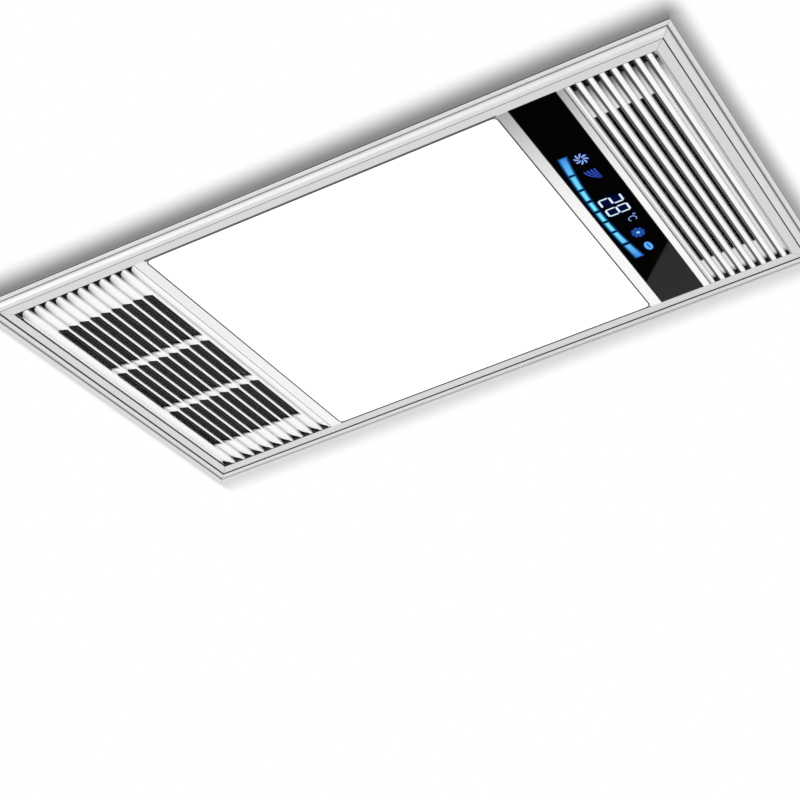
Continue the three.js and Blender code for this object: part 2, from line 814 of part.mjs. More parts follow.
// A rib pressed up in the roof, along X; drawn again with its own sheet's offset for the inside
function swage(y, base, offset) {
  const foot = swageWidth / 2 - offset;
  const crown = swageTop / 2 - offset;
  const profile = [[y - foot, base - overrun], [y + foot, base - overrun], [y + foot, base],
    [y + crown, base + swageHeight], [y - crown, base + swageHeight], [y - foot, base]];
  const half = wallX - swageEnd - offset;
  return prismY(profile, -half, half).rotateZ(Math.PI / 2);
}

function addHousing() {
  const flangeX = panelLength / 2 - flangeGap;
  const flangeY = panelWidth / 2 - flangeGap;
  const shell = block(-wallX, wallX, -wallY, wallY, flangeLevel, housingTop);
  const hollow = block(-wallX + sheet, wallX - sheet, -wallY + sheet, wallY - sheet,
    flangeLevel - overrun, roofLevel);
  const swages = [-swagePlace, swagePlace].map((y) => swage(y, housingTop, 0));
  const swageInsides = [-swagePlace, swagePlace].map((y) => swage(y, roofLevel, sheet / 2));
  const flange = block(-flangeX, flangeX, -flangeY, flangeY, flangeLevel, flangeLevel + sheet);
  const ductHole = alongX(disc(spigotInner, -overrun - sheet, overrun + sheet, 40))
    .translate(-wallX, 0, spigotLevel);
  const screwHoles = screwPlaces.map(([x, y]) => disc(screwRadius + runningGap, flangeLevel - overrun,
    flangeLevel + sheet + overrun, 12).translate(x, y, 0));
  const cableHole = alongX(disc(wireHole / 2, -overrun - sheet, overrun + sheet, 16))
    .translate(wallX, terminalY, terminalLevel + terminalHeight - wireHole);
  add(unit, 'housing', carve(fuse([shell, flange, ...swages]),
    [hollow, ...swageInsides, ductHole, cableHole, ...screwHoles]), zinc);
}

function addHangers() {
  const profile = [[0, 0], [0, hangerLeg], [hangerSheet, hangerLeg], [hangerSheet, hangerSheet],
    [hangerLeg, hangerSheet], [hangerLeg, 0]];
  const half = hangerLength / 2;
  const angle = extrude(outline(profile), hangerLength);
  const lie = new THREE.Matrix4().makeBasis(new THREE.Vector3(0, 1, 0), new THREE.Vector3(0, 0, 1),
    new THREE.Vector3(1, 0, 0));
  angle.applyMatrix4(lie).translate(-half, 0, 0);
  const holes = [-1, 1].map((end) => disc(hangerHole / 2, -overrun, hangerSheet + overrun, 20)
    .translate(end * (half - hangerHoleInset), (hangerLeg + hangerSheet) / 2, 0));
  const made = carve(angle, holes);
  add(unit, 'hanger_angle_far', made, zinc, [0, wallY, hangerLevel], 0);
  add(unit, 'hanger_angle_near', made, zinc, [0, -wallY, hangerLevel], Math.PI);
}

// The spigot stands on the housing wall; its own frame has +Z along the duct, away from the housing
function addSpigot() {
  const outer = spigotOuter / 2;
  const beadAt = spigotLength - beadInset;
  const profile = [[spigotInner, 0], [outer + spigotFlange, 0], [outer + spigotFlange, spigotWall],
    [outer, spigotWall], [outer, beadAt - beadWidth / 2], [outer + beadHeight, beadAt],
    [outer, beadAt + beadWidth / 2], [outer, spigotLength], [spigotInner, spigotLength], [spigotInner, 0]];
  const tube = revolve(profile, 32);
  const pinReach = spigotInner + spigotWall / 2;
  const pin = disc(hingePin, -pinReach, pinReach, 12).rotateY(Math.PI / 2).translate(0, 0, shutterInset);
  const duct = group(unit, -wallX, 0, spigotLevel);
  duct.rotation.y = -Math.PI / 2;
  add(duct, 'duct_spigot', fuse([tube, pin]), zinc);
}

// Each half disc of the shutter hangs on the upright pin across the spigot by its knuckle:
// the near wing's knuckle is below the middle and the far wing's above it
function shutterWing(side) {
  const radius = spigotInner - 2 * wingGap;
  const knuckle = hingePin + runningGap + knuckleWall;
  const points = [];
  for (let i = 0; i <= wingSteps; i += 1) {
    const angle = -Math.PI / 2 + (i / wingSteps) * Math.PI;
    points.push([side * radius * Math.cos(angle), radius * Math.sin(angle)]);
  }
  const lie = new THREE.Matrix4().makeBasis(new THREE.Vector3(0, 1, 0), new THREE.Vector3(0, 0, 1),
    new THREE.Vector3(1, 0, 0));
  const plate = prismZ(points, -wingThickness / 2, wingThickness / 2).applyMatrix4(lie);
  const clear = disc(knuckle + wingGap, -radius - overrun, radius + overrun, 16);
  const low = side > 0 ? wingGap : wingGap - radius / 2;
  const high = low + radius / 2 - 2 * wingGap;
  const barrel = disc(knuckle, low, high, 16);
  const reach = side * (knuckle + 2 * wingGap);
  const tab = block(-wingThickness / 2, wingThickness / 2, Math.min(0, reach), Math.max(0, reach), low, high);
  const bore = disc(hingePin + runningGap, low - overrun, high + overrun, 16);
  return carve(fuse([carve(plate, [clear]), tab, barrel]), [bore]);
}

const shutterX = -wallX - shutterInset;

function addShutter() {
  const pivot = group(unit, shutterX, 0, spigotLevel);
  add(pivot, 'shutter_wing_near', shutterWing(-1), aluminium);
  add(pivot, 'shutter_wing_far', shutterWing(1), aluminium);
}

// Heater duct and what it holds

function addHeaterDuct() {
  const box = block(ductLeft, ductRight, -ductHalf, ductHalf, ductFloor, roofLevel);
  const inside = block(ductLeft + sheet, ductRight - sheet, -ductHalf + sheet, ductHalf - sheet,
    ductFloor - overrun, roofLevel - sheet);
  const ductHole = alongX(disc(spigotInner, -overrun - sheet, overrun + sheet, 40))
    .translate(ductLeft, 0, spigotLevel);
  const airHole = block(ductRight - sheet - overrun, ductRight + overrun, outletOuter, outletInner,
    scrollFloor, scrollFloor + scrollHeight - scrollWall);
  const bore = alongY(disc(damperShaft + runningGap, -ductHalf - overrun, ductHalf + overrun, 16))
    .translate(damperX, 0, damperZ);
  add(unit, 'heater_duct', carve(box, [inside, ductHole, airHole, bore]), zinc);
}

const coreX = (heaterLeft + heaterRight) / 2 + ductLeftGap;
const coreTop = deckLevel;
const coreBottom = coreTop - coreHeight;

function addHeaterCore() {
  const x0 = coreX - coreWidth / 2;
  const x1 = coreX + coreWidth / 2;
  const half = ductHalf - coreEndRoom;
  const gap = (coreWidth - coreBars * coreBar) / (coreBars - 1);
  const pieces = [];
  for (let i = 0; i < coreBars; i += 1) {
    const x = x0 + i * (coreBar + gap);
    pieces.push(block(x, x + coreBar, -half, half, coreBottom, coreTop - seatGap));
  }
  const fins = Math.floor((2 * half - finPitch) / finPitch);
  for (let i = 0; i < fins; i += 1) {
    const y = -((fins - 1) * finPitch) / 2 + i * finPitch;
    pieces.push(block(x0 + coreBar / 2, x1 - coreBar / 2, y - finThickness / 2, y + finThickness / 2,
      coreBottom + finThickness, coreTop - seatGap - finThickness));
  }
  add(unit, 'heater_core', fuse(pieces), aluminium);

  [-1, 1].forEach((end) => {
    const y0 = end > 0 ? half + seatGap : -half - seatGap - capLength;
    const cap = block(x0 - capLip, x1 + capLip, y0, y0 + capLength, coreBottom - capLip, coreTop);
    add(unit, `heater_end_cap_${end > 0 ? 'far' : 'near'}`, cap, whitePlastic);
  });

  const inset = sheet + seatGap;
  const deck = prismZ(rectangle(ductLeft + inset, ductRight - inset, -ductHalf + inset, ductHalf - inset),
    deckLevel, deckLevel + deckSheet, [rectangle(x0 + capLip, x1 - capLip, -half + capLip, half - capLip)]);
  add(unit, 'heater_deck', deck, zinc);

  const cutout = revolve([[0, 0], [cutoutRadius, 0], [cutoutRadius, cutoutHeight / 2],
    [cutoutRadius * cutoutTopShare, cutoutHeight], [0, cutoutHeight]], 20).rotateX(Math.PI / 2);
  add(unit, 'thermal_cutout', cutout, blackPlastic, [coreX, -ductHalf, cutoutLevel]);
}

// Changeover damper: upright against the duct outlet when heating, down over the heater when extracting
function addDamper() {
  const half = ductHalf - sheet - damperEndGap;
  const plate = block(-damperSheet / 2, damperSheet / 2, -half, half, 0, damperReach);
  const shaft = alongY(disc(damperShaft, -ductHalf - sheet, ductHalf + smallMotorSocket - sheet, 16));
  const rib = block(-damperSheet / 2 - damperRib, 0, -half, half, damperReach - damperRib, damperReach);
  const axis = group(unit, damperX, 0, damperZ);
  add(axis, 'changeover_damper', fuse([plate, shaft, rib]), aluminium);
}

// A flat gear motor whose output socket may lie off the middle of its can
function smallMotor(bore, offset = 0) {
  const shoulder = smallMotorLength - smallMotorBevel;
  const can = revolve([[0, 0], [smallMotorRadius, 0], [smallMotorRadius, shoulder],
    [smallMotorRadius - smallMotorBevel, smallMotorLength], [0, smallMotorLength]], 28);
  const socket = disc(bore, -overrun, smallMotorSocket, 16).translate(-offset, 0, 0);
  return alongY(carve(can, [socket]));
}

function addDamperMotor() {
  add(unit, 'damper_motor', smallMotor(damperShaft + runningGap, damperMotorOffset), blackPlastic,
    [damperX + damperMotorOffset, ductHalf, damperZ]);
}

// Swing vanes in their frame, with the link that moves them together

const vaneFrameRight = heaterRight - vaneFrameInset;
const vaneZ = flangeLevel + vaneFrameHeight * vaneLevelShare;
const vaneXs = Array.from({ length: vaneCount }, (_, i) => (ductLeft + vaneFrameRight) / 2
  + (i - (vaneCount - 1) / 2) * vanePitch);

function addVaneFrame() {
  const top = flangeLevel + vaneFrameHeight;
  const outer = block(ductLeft, vaneFrameRight, -ductHalf, ductHalf, flangeLevel, top);
  const inner = block(ductLeft + sheet, vaneFrameRight - sheet, -ductHalf + sheet, ductHalf - sheet,
    flangeLevel - overrun, top + overrun);
  const reach = ductHalf + overrun;
  const bores = vaneXs.map((x) => alongY(disc(vanePin + runningGap, -reach, reach, 16)).translate(x, 0, vaneZ));
  add(unit, 'vane_frame', carve(outer, [inner, ...bores]), blackPlastic);
}

function vane() {
  const half = ductHalf - sheet - vaneEndGap;
  const right = [];
  const left = [];
  for (let i = 0; i <= vaneSteps; i += 1) {
    const along = -1 + (2 * i) / vaneSteps;
    const thick = (vaneThickness / 2) * (1 - (1 - vaneEdgeShare) * along * along);
    right.push([thick, (along * vaneChord) / 2]);
    left.push([-thick, (along * vaneChord) / 2]);
  }
  const blade = prismY([...right, ...left.reverse()], -half, half);
  const crankY = ductHalf + crankGap;
  const linkEnd = crankY + crankThickness + seatGap + linkThickness + crankGap;
  const pins = alongY(disc(vanePin, -ductHalf - smallMotorSocket + sheet, crankY + crankThickness / 2, 16));
  const crank = block(-vanePin, vanePin, crankY, crankY + crankThickness, -vanePin, crankArm + vanePin);
  const pin = alongY(disc(crankPin, crankY + crankThickness / 2, linkEnd, 16)).translate(0, 0, crankArm);
  return fuse([blade, pins, crank, pin]);
}

function addVanes() {
  vaneXs.forEach((x, i) => {
    const axis = group(unit, x, 0, vaneZ);
    add(axis, `swing_vane_${i + 1}`, vane(), blackPlastic);
  });
  const y0 = ductHalf + crankGap + crankThickness + seatGap;
  const reach = ((vaneCount - 1) / 2) * vanePitch;
  const width = crankPin + linkMargin;
  const bar = block(-reach - width, reach + width, y0, y0 + linkThickness, -width, width);
  const bore = crankPin + runningGap;
  const holes = vaneXs.map((x) => alongY(disc(bore, y0 - overrun, y0 + linkThickness + overrun, 16))
    .translate(x - vaneXs[0] - reach, 0, 0));
  const pivot = group(unit, vaneXs[0] + reach, 0, vaneZ + crankArm);
  add(pivot, 'vane_link', carve(bar, holes), whitePlastic);
  const motor = smallMotor(vanePin + runningGap);
  add(unit, 'vane_motor', motor, blackPlastic, [vaneXs[0], -ductHalf, vaneZ], Math.PI);
}

// Blower: scroll, inlet cover, wheel, motor and the straps that hang it from the roof

function scrollOutline(offset) {
  const points = [];
  for (let i = 0; i <= scrollSteps; i += 1) {
    const angle = outletAngle + ((tongueAngle - outletAngle) * i) / scrollSteps;
    const radius = scrollLarge - ((scrollLarge - scrollSmall) * i) / scrollSteps + offset;
    points.push([radius * Math.cos(radians(angle)), radius * Math.sin(radians(angle))]);
  }
  return points;
}

// The outline with its outlet, which runs on to a given X of the part
function scrollWithOutlet(offset, outletX) {
  const points = scrollOutline(offset);
  points.push([outletX - fanX, outletInner - fanY + offset], [outletX - fanX, -scrollLarge - offset]);
  return points;
}

const wheelBottom = scrollFloor + wheelGap;
const wheelTop = scrollTop - scrollWall - wheelGap;
const cupFloor = wheelTop - cupDepth;

function addScroll(blower) {
  const end = ductRight + seatGap;
  const outer = prismZ(scrollWithOutlet(scrollWall, end), scrollFloor, scrollTop);
  const inner = prismZ(scrollWithOutlet(0, end - overrun), scrollFloor - overrun, scrollTop - scrollWall);
  const eye = disc(motorHole, scrollTop - scrollWall - overrun, scrollTop + overrun, 40);
  add(blower, 'scroll_shell', carve(outer, [inner, eye]), whitePlastic);

  const top = scrollFloor - seatGap;
  const plate = prismZ(scrollWithOutlet(scrollWall, end), top - coverThickness, top);
  const hole = disc(inletRadius, top - coverThickness - overrun, top + overrun, 40);
  const bell = revolve([[inletRadius, top], [inletRadius + coverThickness, top],
    [inletRadius + coverThickness, top - coverThickness],
    [inletRadius + coverThickness + inletFlare, top - coverThickness - inletFlare],
    [inletRadius + inletFlare, top - coverThickness - inletFlare], [inletRadius, top - coverThickness],
    [inletRadius, top]], 40);
  add(blower, 'scroll_cover', fuse([carve(plate, [hole]), bell]), whitePlastic);
}

function wheelBlade(index) {
  const leading = [];
  const trailing = [];
  for (let i = 0; i <= wheelBladeSteps; i += 1) {
    const t = i / wheelBladeSteps;
    const radius = wheelInner + (wheelRadius - bladeSheet - wheelInner) * t;
    const angle = (index / wheelBlades) * 2 * Math.PI - radians(bladeLean) * t * t;
    const half = bladeSheet / 2 / radius;
    leading.push([radius * Math.cos(angle + half), radius * Math.sin(angle + half)]);
    trailing.push([radius * Math.cos(angle - half), radius * Math.sin(angle - half)]);
  }
  return prismZ([...trailing, ...leading.reverse()], wheelBottom + wheelDisc / 2, wheelTop - wheelDisc / 2);
}

function addWheel(blower) {
  const blades = Array.from({ length: wheelBlades }, (_, i) => wheelBlade(i));
  const band = ring(wheelInner, wheelRadius, wheelBottom, wheelBottom + wheelDisc, 48);
  const bore = shaftRadius + seatGap;
  const cup = revolve([[bore, cupFloor - hubLength], [hubRadius, cupFloor - hubLength], [hubRadius, cupFloor],
    [cupRadius, cupFloor], [cupRadius + wheelDisc, wheelTop - wheelDisc], [wheelRadius, wheelTop - wheelDisc],
    [wheelRadius, wheelTop], [cupRadius, wheelTop], [cupRadius - wheelDisc, cupFloor + wheelDisc],
    [bore, cupFloor + wheelDisc], [bore, cupFloor - hubLength]], 48);
  add(blower, 'fan_wheel', fuse([cup, band, ...blades]), blackPlastic);

  const motorBottom = cupFloor + wheelDisc + motorGap;
  const shaftEnd = cupFloor - hubLength - seatGap - nutHeight - sheet;
  add(blower, 'motor_shaft', disc(shaftRadius, shaftEnd, motorBottom + shaftBore - seatGap, 20), steel);
  const nutBottom = shaftEnd + sheet;
  const nutBore = disc(bore, nutBottom - overrun, nutBottom + nutHeight + overrun, 20);
  add(blower, 'shaft_nut', carve(disc(nutRadius, nutBottom, nutBottom + nutHeight, 6), [nutBore]), steel);

  const motorTop = roofLevel - motorTopGap;
  const lip = scrollTop + bracketSheet;
  const motor = revolve([[shaftRadius + runningGap, motorBottom], [motorRadius - motorBevel, motorBottom],
    [motorRadius, motorBottom + motorBevel], [motorRadius, lip], [motorRadius + motorLip, lip],
    [motorRadius + motorLip, lip + motorLipHeight], [motorRadius, lip + motorLipHeight],
    [motorRadius, motorTop - motorBevel], [motorRadius - motorBevel, motorTop], [0, motorTop],
    [0, motorBottom + shaftBore], [shaftRadius + runningGap, motorBottom + shaftBore],
    [shaftRadius + runningGap, motorBottom]], 24);
  add(blower, 'fan_motor', motor, steel);
  add(blower, 'motor_bracket', ring(motorRadius + seatGap, bracketRadius, scrollTop, lip, 24), zinc);
}

function addStraps(blower) {
  const rise = roofLevel - scrollTop;
  const profile = [[0, 0], [strapFoot, 0], [strapFoot, rise - strapSheet], [2 * strapFoot, rise - strapSheet],
    [2 * strapFoot, rise], [strapFoot - strapSheet, rise], [strapFoot - strapSheet, strapSheet],
    [0, strapSheet]];
  strapAngles.forEach((degrees, i) => {
    const strap = prismY(profile, -strapWidth / 2, strapWidth / 2).translate(strapReach, 0, 0);
    add(blower, `blower_strap_${i + 1}`, strap, zinc, [0, 0, scrollTop], radians(degrees));
  });
}

// Terminal box on the outside, control board on the inside of the extraction end

function addTerminals() {
  const y0 = terminalY - terminalWidth / 2;
  const y1 = terminalY + terminalWidth / 2;
  const z1 = terminalLevel + terminalHeight;
  const x1 = wallX + terminalDepth;
  const box = block(wallX, x1, y0, y1, terminalLevel, z1);
  const inside = block(wallX + terminalWall, x1 + overrun, y0 + terminalWall, y1 - terminalWall,
    terminalLevel + terminalWall, z1 - terminalWall);
  const wires = alongX(disc(wireHole / 2, -overrun, terminalWall + overrun, 16))
    .translate(wallX, terminalY, z1 - wireHole);
  const glandHole = disc(glandBore + sheet, -terminalWall - overrun, overrun, 16)
    .translate(wallX + terminalDepth / 2, terminalY, z1);
  add(unit, 'terminal_box', carve(box, [inside, wires, glandHole]), greyPlastic);
  add(unit, 'terminal_cover', block(x1 + seatGap, x1 + seatGap + terminalCoverSheet, y0, y1, terminalLevel, z1),
    greyPlastic);

  const base = block(0, blockDepth, -blockWidth / 2, blockWidth / 2, 0, blockHeight);
  const polePitch = blockWidth / blockPoles;
  const poles = Array.from({ length: blockPoles }, (_, i) => alongX(disc(poleRadius, blockDepth - poleDepth,
    blockDepth + overrun, 12)).translate(0, (i - (blockPoles - 1) / 2) * polePitch, blockHeight / 2));
  add(unit, 'terminal_block', carve(base, poles), whitePlastic,
    [wallX + terminalWall, terminalY, terminalLevel + terminalWall + blockHeight / 2]);

  const gland = fuse([
    disc(glandBore + sheet - seatGap, -terminalWall, glandNut, 16),
    disc(glandRadius, 0, glandNut, 6),
    revolve([[0, 0], [glandRadius - sheet, 0], [glandRadius - sheet, glandHeight - sheet],
      [glandBore + sheet, glandHeight], [0, glandHeight]], 20),
  ]);
  const glandHollow = disc(glandBore, -terminalWall - overrun, glandHeight + overrun, 16);
  add(unit, 'cable_gland', carve(gland, [glandHollow]), blackPlastic,
    [wallX + terminalDepth / 2, terminalY, z1]);
}

function addControlBoard() {
  const inner = wallX - sheet;
  const y0 = boardY - boardWidth / 2;
  const y1 = boardY + boardWidth / 2;
  const z1 = boardLevel + boardHeight;
  const plate = block(inner - boardThickness, inner, y0, y1, boardLevel, z1);
  const postX = inner - boardThickness + seatGap;
  const postPlaces = rectangle(y0 + boardInset, y1 - boardInset, boardLevel + boardInset, z1 - boardInset);
  const posts = postPlaces.map(([y, z]) => alongX(disc(standoffRadius, -standoff, 0, 12)).translate(postX, y, z));
  add(unit, 'board_carrier', fuse([plate, ...posts]), blackPlastic);

  const x1 = postX - standoff;
  const board = block(x1 - boardThickness, x1, y0, y1, boardLevel, z1);
  const parts = Array.from({ length: relays }, (_, i) => {
    const y = y0 + ((i + 1) * boardWidth) / (relays + 1);
    return block(x1 - boardThickness - relayHeight, x1 - boardThickness, y - relaySize / 2, y + relaySize / 2,
      boardLevel + boardInset, boardLevel + boardInset + relaySize);
  });
  add(unit, 'control_board', fuse([board, ...parts]), circuitGreen);
}

addTrim();
addCornerKeys();
addFacePlate();
addFaceScrews();
addHeaterGrille();
addGuardMesh();
addExhaustGrille();
addLight();
addDisplay();
addHousing();
addHangers();
addSpigot();
addShutter();
addHeaterDuct();
addHeaterCore();
addDamper();
addDamperMotor();
addVaneFrame();
addVanes();
const blower = group(unit, fanX, fanY, 0);
addScroll(blower);
addWheel(blower);
addStraps(blower);
addTerminals();
addControlBoard();

export default unit;
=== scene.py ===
"""Looks of the bathroom ceiling heater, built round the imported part.

The frame is the part's own: metres, +Z up, the ceiling plane at z = 0 with the room below it and
the ceiling void above. X runs from the heater grille to the extraction grille. Fields and
arguments of the classes here are millimetres, and Workpiece and Recipe turn them into metres.
"""

import logging
import math
from collections.abc import Callable, Iterable, Iterator, Mapping, Sequence
from contextlib import contextmanager
from dataclasses import dataclass
from enum import Enum
from functools import reduce

import bmesh
import bpy
from mathutils import Matrix, Vector


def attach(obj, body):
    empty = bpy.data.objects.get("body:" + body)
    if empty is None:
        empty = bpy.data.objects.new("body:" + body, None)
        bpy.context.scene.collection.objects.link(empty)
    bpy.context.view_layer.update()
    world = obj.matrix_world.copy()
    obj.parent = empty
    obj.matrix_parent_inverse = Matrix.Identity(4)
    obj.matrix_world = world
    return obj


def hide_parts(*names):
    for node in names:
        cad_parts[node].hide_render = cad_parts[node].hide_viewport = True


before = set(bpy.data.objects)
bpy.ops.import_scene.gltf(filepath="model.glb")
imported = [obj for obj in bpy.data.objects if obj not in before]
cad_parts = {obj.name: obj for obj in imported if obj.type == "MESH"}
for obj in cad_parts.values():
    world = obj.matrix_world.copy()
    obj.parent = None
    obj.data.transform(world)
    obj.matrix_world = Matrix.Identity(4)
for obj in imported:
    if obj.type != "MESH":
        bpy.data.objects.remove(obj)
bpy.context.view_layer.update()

LOG = logging.getLogger("ceiling_heater")
MM = 0.001
WELD = 1e-6  # points nearer than this are one point
FLAT_ANGLE = 1.0  # degrees between faces that count as one flat face
CREASE_ANGLE = 32.0  # degrees above which an edge is a corner
SMOOTH_ANGLE = 38.0  # degrees up to which an edge looks smooth
PARALLEL = 0.9  # part of a unit direction along an axis above which it counts as parallel to it

Place = Sequence[float]
Pair = tuple[float, float]
Triple = tuple[float, float, float]
Quad = tuple[float, float, float, float]
Colour = Triple
Spots = Iterable[tuple[Place, Place]]  # points, each with a direction
Test = Callable[[Vector, Vector], bool]

NO_LIGHT: Colour = (0.0, 0.0, 0.0)
FULL_LIGHT: Colour = (1.0, 1.0, 1.0)


class Elements(Enum):
    """What is selected in edit mode."""

    FACES = "FACE"
    EDGES = "EDGE"


class Slot(Enum):
    """The record's material slots."""

    TRIM = "trim_aluminium"
    ENAMEL = "face_enamel"
    ZINC = "zinc_sheet"
    STEEL = "bright_steel"
    ALUMINIUM = "bare_aluminium"
    BLACK = "black_plastic"
    WHITE = "white_plastic"
    GREY = "grey_plastic"
    CHARCOAL = "charcoal_mesh"
    OPAL = "opal_acrylic"
    GLASS = "display_glass"
    CIRCUIT = "circuit_board"


# Modelling


def deselect_all() -> None:
    for obj in bpy.context.selected_objects:
        obj.select_set(False)


def lay_along(direction: Vector) -> Matrix:
    """The turn that lays +Z along a direction."""
    return Vector((0, 0, 1)).rotation_difference(direction.normalized()).to_matrix().to_4x4()


def in_scene(name: str, data: bpy.types.ID) -> bpy.types.Object:
    """A new object in the scene, made of its data."""
    obj = bpy.data.objects.new(name, data)
    bpy.context.scene.collection.objects.link(obj)
    return obj


class Workpiece:
    """A mesh on the bench, worked with Blender's own operators; its object stays at the origin."""

    def __init__(self, obj: bpy.types.Object) -> None:
        self.obj = obj

    @classmethod
    def taken(cls, name: str) -> "Workpiece":
        """Names the primitive just added and puts its place into its mesh."""
        return cls(bpy.context.object).named(name).settled()

    @classmethod
    def block(cls, name: str, low: Place, high: Place) -> "Workpiece":
        """A box between two corners.

        Args:
            name: the piece's name.
            low: lowest corner, millimetres.
            high: highest corner, millimetres.

        Returns:
            The new piece.
        """
        deselect_all()
        middle = [(a + b) / 2 * MM for a, b in zip(low, high)]
        bpy.ops.mesh.primitive_cube_add(size=1, location=middle)
        bpy.context.object.scale = [(b - a) * MM for a, b in zip(low, high)]
        return cls.taken(name)

    @classmethod
    def rod(cls, name: str, radius: float, start: Place, end: Place, sides: int) -> "Workpiece":
        """A cylinder between two points.

        Args:
            name: the piece's name.
            radius: its radius.
            start: middle of one end.
            end: middle of the other end.
            sides: how many faces go round it.

        Returns:
            The new piece.
        """
        deselect_all()
        a, b = Vector(start) * MM, Vector(end) * MM
        bpy.ops.mesh.primitive_cylinder_add(vertices=sides, radius=radius * MM, depth=(b - a).length)
        bpy.context.object.matrix_world = Matrix.Translation((a + b) / 2) @ lay_along(b - a)
        return cls.taken(name)

    @classmethod
    def turned(cls, name: str, rings: Sequence[Pair], sides: int, base: Place = (0, 0, 0),
               axis: Place = (0, 0, 1), hollow: bool = False) -> "Workpiece":
        """A turned shape: a circle drawn out ring by ring along an axis.

        Args:
            name: the piece's name.
            rings: radius and height of each ring, in order.
            sides: how many faces go round it.
            base: the point that heights are counted from.
            axis: the direction of the heights.
            hollow: whether the last ring is bridged to the first; else both ends are capped.

        Returns:
            The new piece.
        """
        deselect_all()
        radius, height = rings[0]
        bpy.ops.mesh.primitive_circle_add(vertices=sides, radius=radius * MM, location=(0, 0, height * MM))
        piece = cls.taken(name)
        with piece.editing(Elements.EDGES):
            bpy.ops.mesh.select_all(action="SELECT")
            for (r0, z0), (r1, z1) in zip(rings, rings[1:]):
                bpy.ops.mesh.extrude_region_move(TRANSFORM_OT_translate={"value": (0, 0, (z1 - z0) * MM)})
                bpy.ops.transform.resize(value=(r1 / r0, r1 / r0, 1), center_override=(0, 0, z1 * MM))
            piece.pick_rims()
            if hollow:
                bpy.ops.mesh.bridge_edge_loops()
            else:
                bpy.ops.mesh.select_all(action="SELECT")
                bpy.ops.mesh.fill_holes(sides=0)
            piece.turn_out()
        piece.obj.matrix_world = Matrix.Translation(Vector(base) * MM) @ lay_along(Vector(axis))
        return piece.settled()

    @classmethod
    def ring(cls, name: str, outer: Sequence[float], inner: Sequence[float], z0: float, z1: float) -> "Workpiece":
        """A flat four-sided ring.

        Args:
            name: the piece's name.
            outer: its outer edges as low X, low Y, high X, high Y.
            inner: its inner edges, likewise.
            z0: its lowest level.
            z1: its highest level.

        Returns:
            The new piece.
        """
        piece = cls.block(name, (*outer[:2], z0), (*outer[2:], z1))
        return piece.cut(cls.block("inside", (*inner[:2], z0 - 1), (*inner[2:], z1 + 1)))

    @classmethod
    def copy_of(cls, node: str, name: str, whole: bool = True) -> "Workpiece":
        """A CAD node's shape as a mesh that can be worked, its points merged.

        Args:
            node: the CAD node.
            name: the piece's name.
            whole: whether flat faces are made whole, which suits rounding but not pierced sheets.

        Returns:
            The new piece.
        """
        piece = cls(in_scene(name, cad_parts[node].data.copy())).named(name)
        piece.obj.data.materials.clear()
        with piece.editing(Elements.FACES):
            bpy.ops.mesh.select_all(action="SELECT")
            bpy.ops.mesh.remove_doubles(threshold=WELD)
            if whole:
                bpy.ops.mesh.dissolve_limited(angle_limit=math.radians(FLAT_ANGLE))
        return piece

    @staticmethod
    def joined(pieces: Sequence["Workpiece"]) -> "Workpiece":
        """Several pieces as one, which keeps the first one's name."""
        return pieces[0].with_pieces(pieces[1:])

    def named(self, name: str) -> "Workpiece":
        """Gives the object and its mesh a name."""
        self.obj.name = self.obj.data.name = name
        return self

    def settled(self) -> "Workpiece":
        """Puts the object's place into its mesh, so that the object stands at the origin."""
        self.activate()
        bpy.ops.object.transform_apply(location=True, rotation=True, scale=True)
        return self

    def activate(self) -> None:
        """Makes this the one selected object."""
        deselect_all()
        self.obj.select_set(True)
        bpy.context.view_layer.objects.active = self.obj

    @contextmanager
    def editing(self, elements: Elements = Elements.FACES) -> Iterator[None]:
        """Opens the mesh in edit mode for the operators that follow."""
        self.activate()
        bpy.ops.object.mode_set(mode="EDIT")
        bpy.ops.mesh.select_mode(type=elements.value)
        yield
        bpy.ops.object.mode_set(mode="OBJECT")

    def pick(self, test: Test, elements: Elements = Elements.FACES) -> None:
        """Selects what passes a test, in edit mode.

        Args:
            test: takes the middle, in millimetres, and the normal, or an edge's direction.
            elements: faces or edges.
        """
        bpy.ops.mesh.select_mode(type=elements.value)
        bpy.ops.mesh.select_all(action="DESELECT")
        mesh = bmesh.from_edit_mesh(self.obj.data)
        if elements is Elements.FACES:
            for face in mesh.faces:
                face.select_set(test(face.calc_center_median() / MM, face.normal))
        else:
            for edge in mesh.edges:
                a, b = (v.co for v in edge.verts)
                edge.select_set(test((a + b) / 2 / MM, (b - a).normalized()))
        mesh.select_flush_mode()
        bmesh.update_edit_mesh(self.obj.data)

    def pick_along(self, axis: int) -> None:
        """Selects the edges that run along an axis, in edit mode."""
        self.pick(lambda _, way: abs(way[axis]) > PARALLEL, Elements.EDGES)

    def pick_rims(self) -> None:
        """Selects the open edges, in edit mode."""
        bpy.ops.mesh.select_all(action="DESELECT")
        mesh = bmesh.from_edit_mesh(self.obj.data)
        for edge in mesh.edges:
            edge.select_set(edge.is_boundary)
        mesh.select_flush_mode()
        bmesh.update_edit_mesh(self.obj.data)

    def turn_out(self) -> None:
        """Turns every face of a closed mesh outwards, in edit mode."""
        bpy.ops.mesh.select_all(action="SELECT")
        bpy.ops.mesh.normals_make_consistent(inside=False)

    def shape(self, rule: Callable[[Vector], Place]) -> "Workpiece":
        """Moves each point by a rule that takes and gives millimetres."""
        for point in self.obj.data.vertices:
            point.co = Vector(rule(point.co / MM)) * MM
        self.obj.data.update()
        return self

    def widened(self, y: float, times: float) -> "Workpiece":
        """Stretches the piece along Y about a place on it."""
        return self.shape(lambda p: (p.x, y + (p.y - y) * times, p.z))

    def subdivided(self, axis: int, cuts: int) -> "Workpiece":
        """Cuts the edges that run along an axis into equal parts."""
        with self.editing():
            self.pick_along(axis)
            bpy.ops.mesh.subdivide(number_cuts=cuts)
        return self

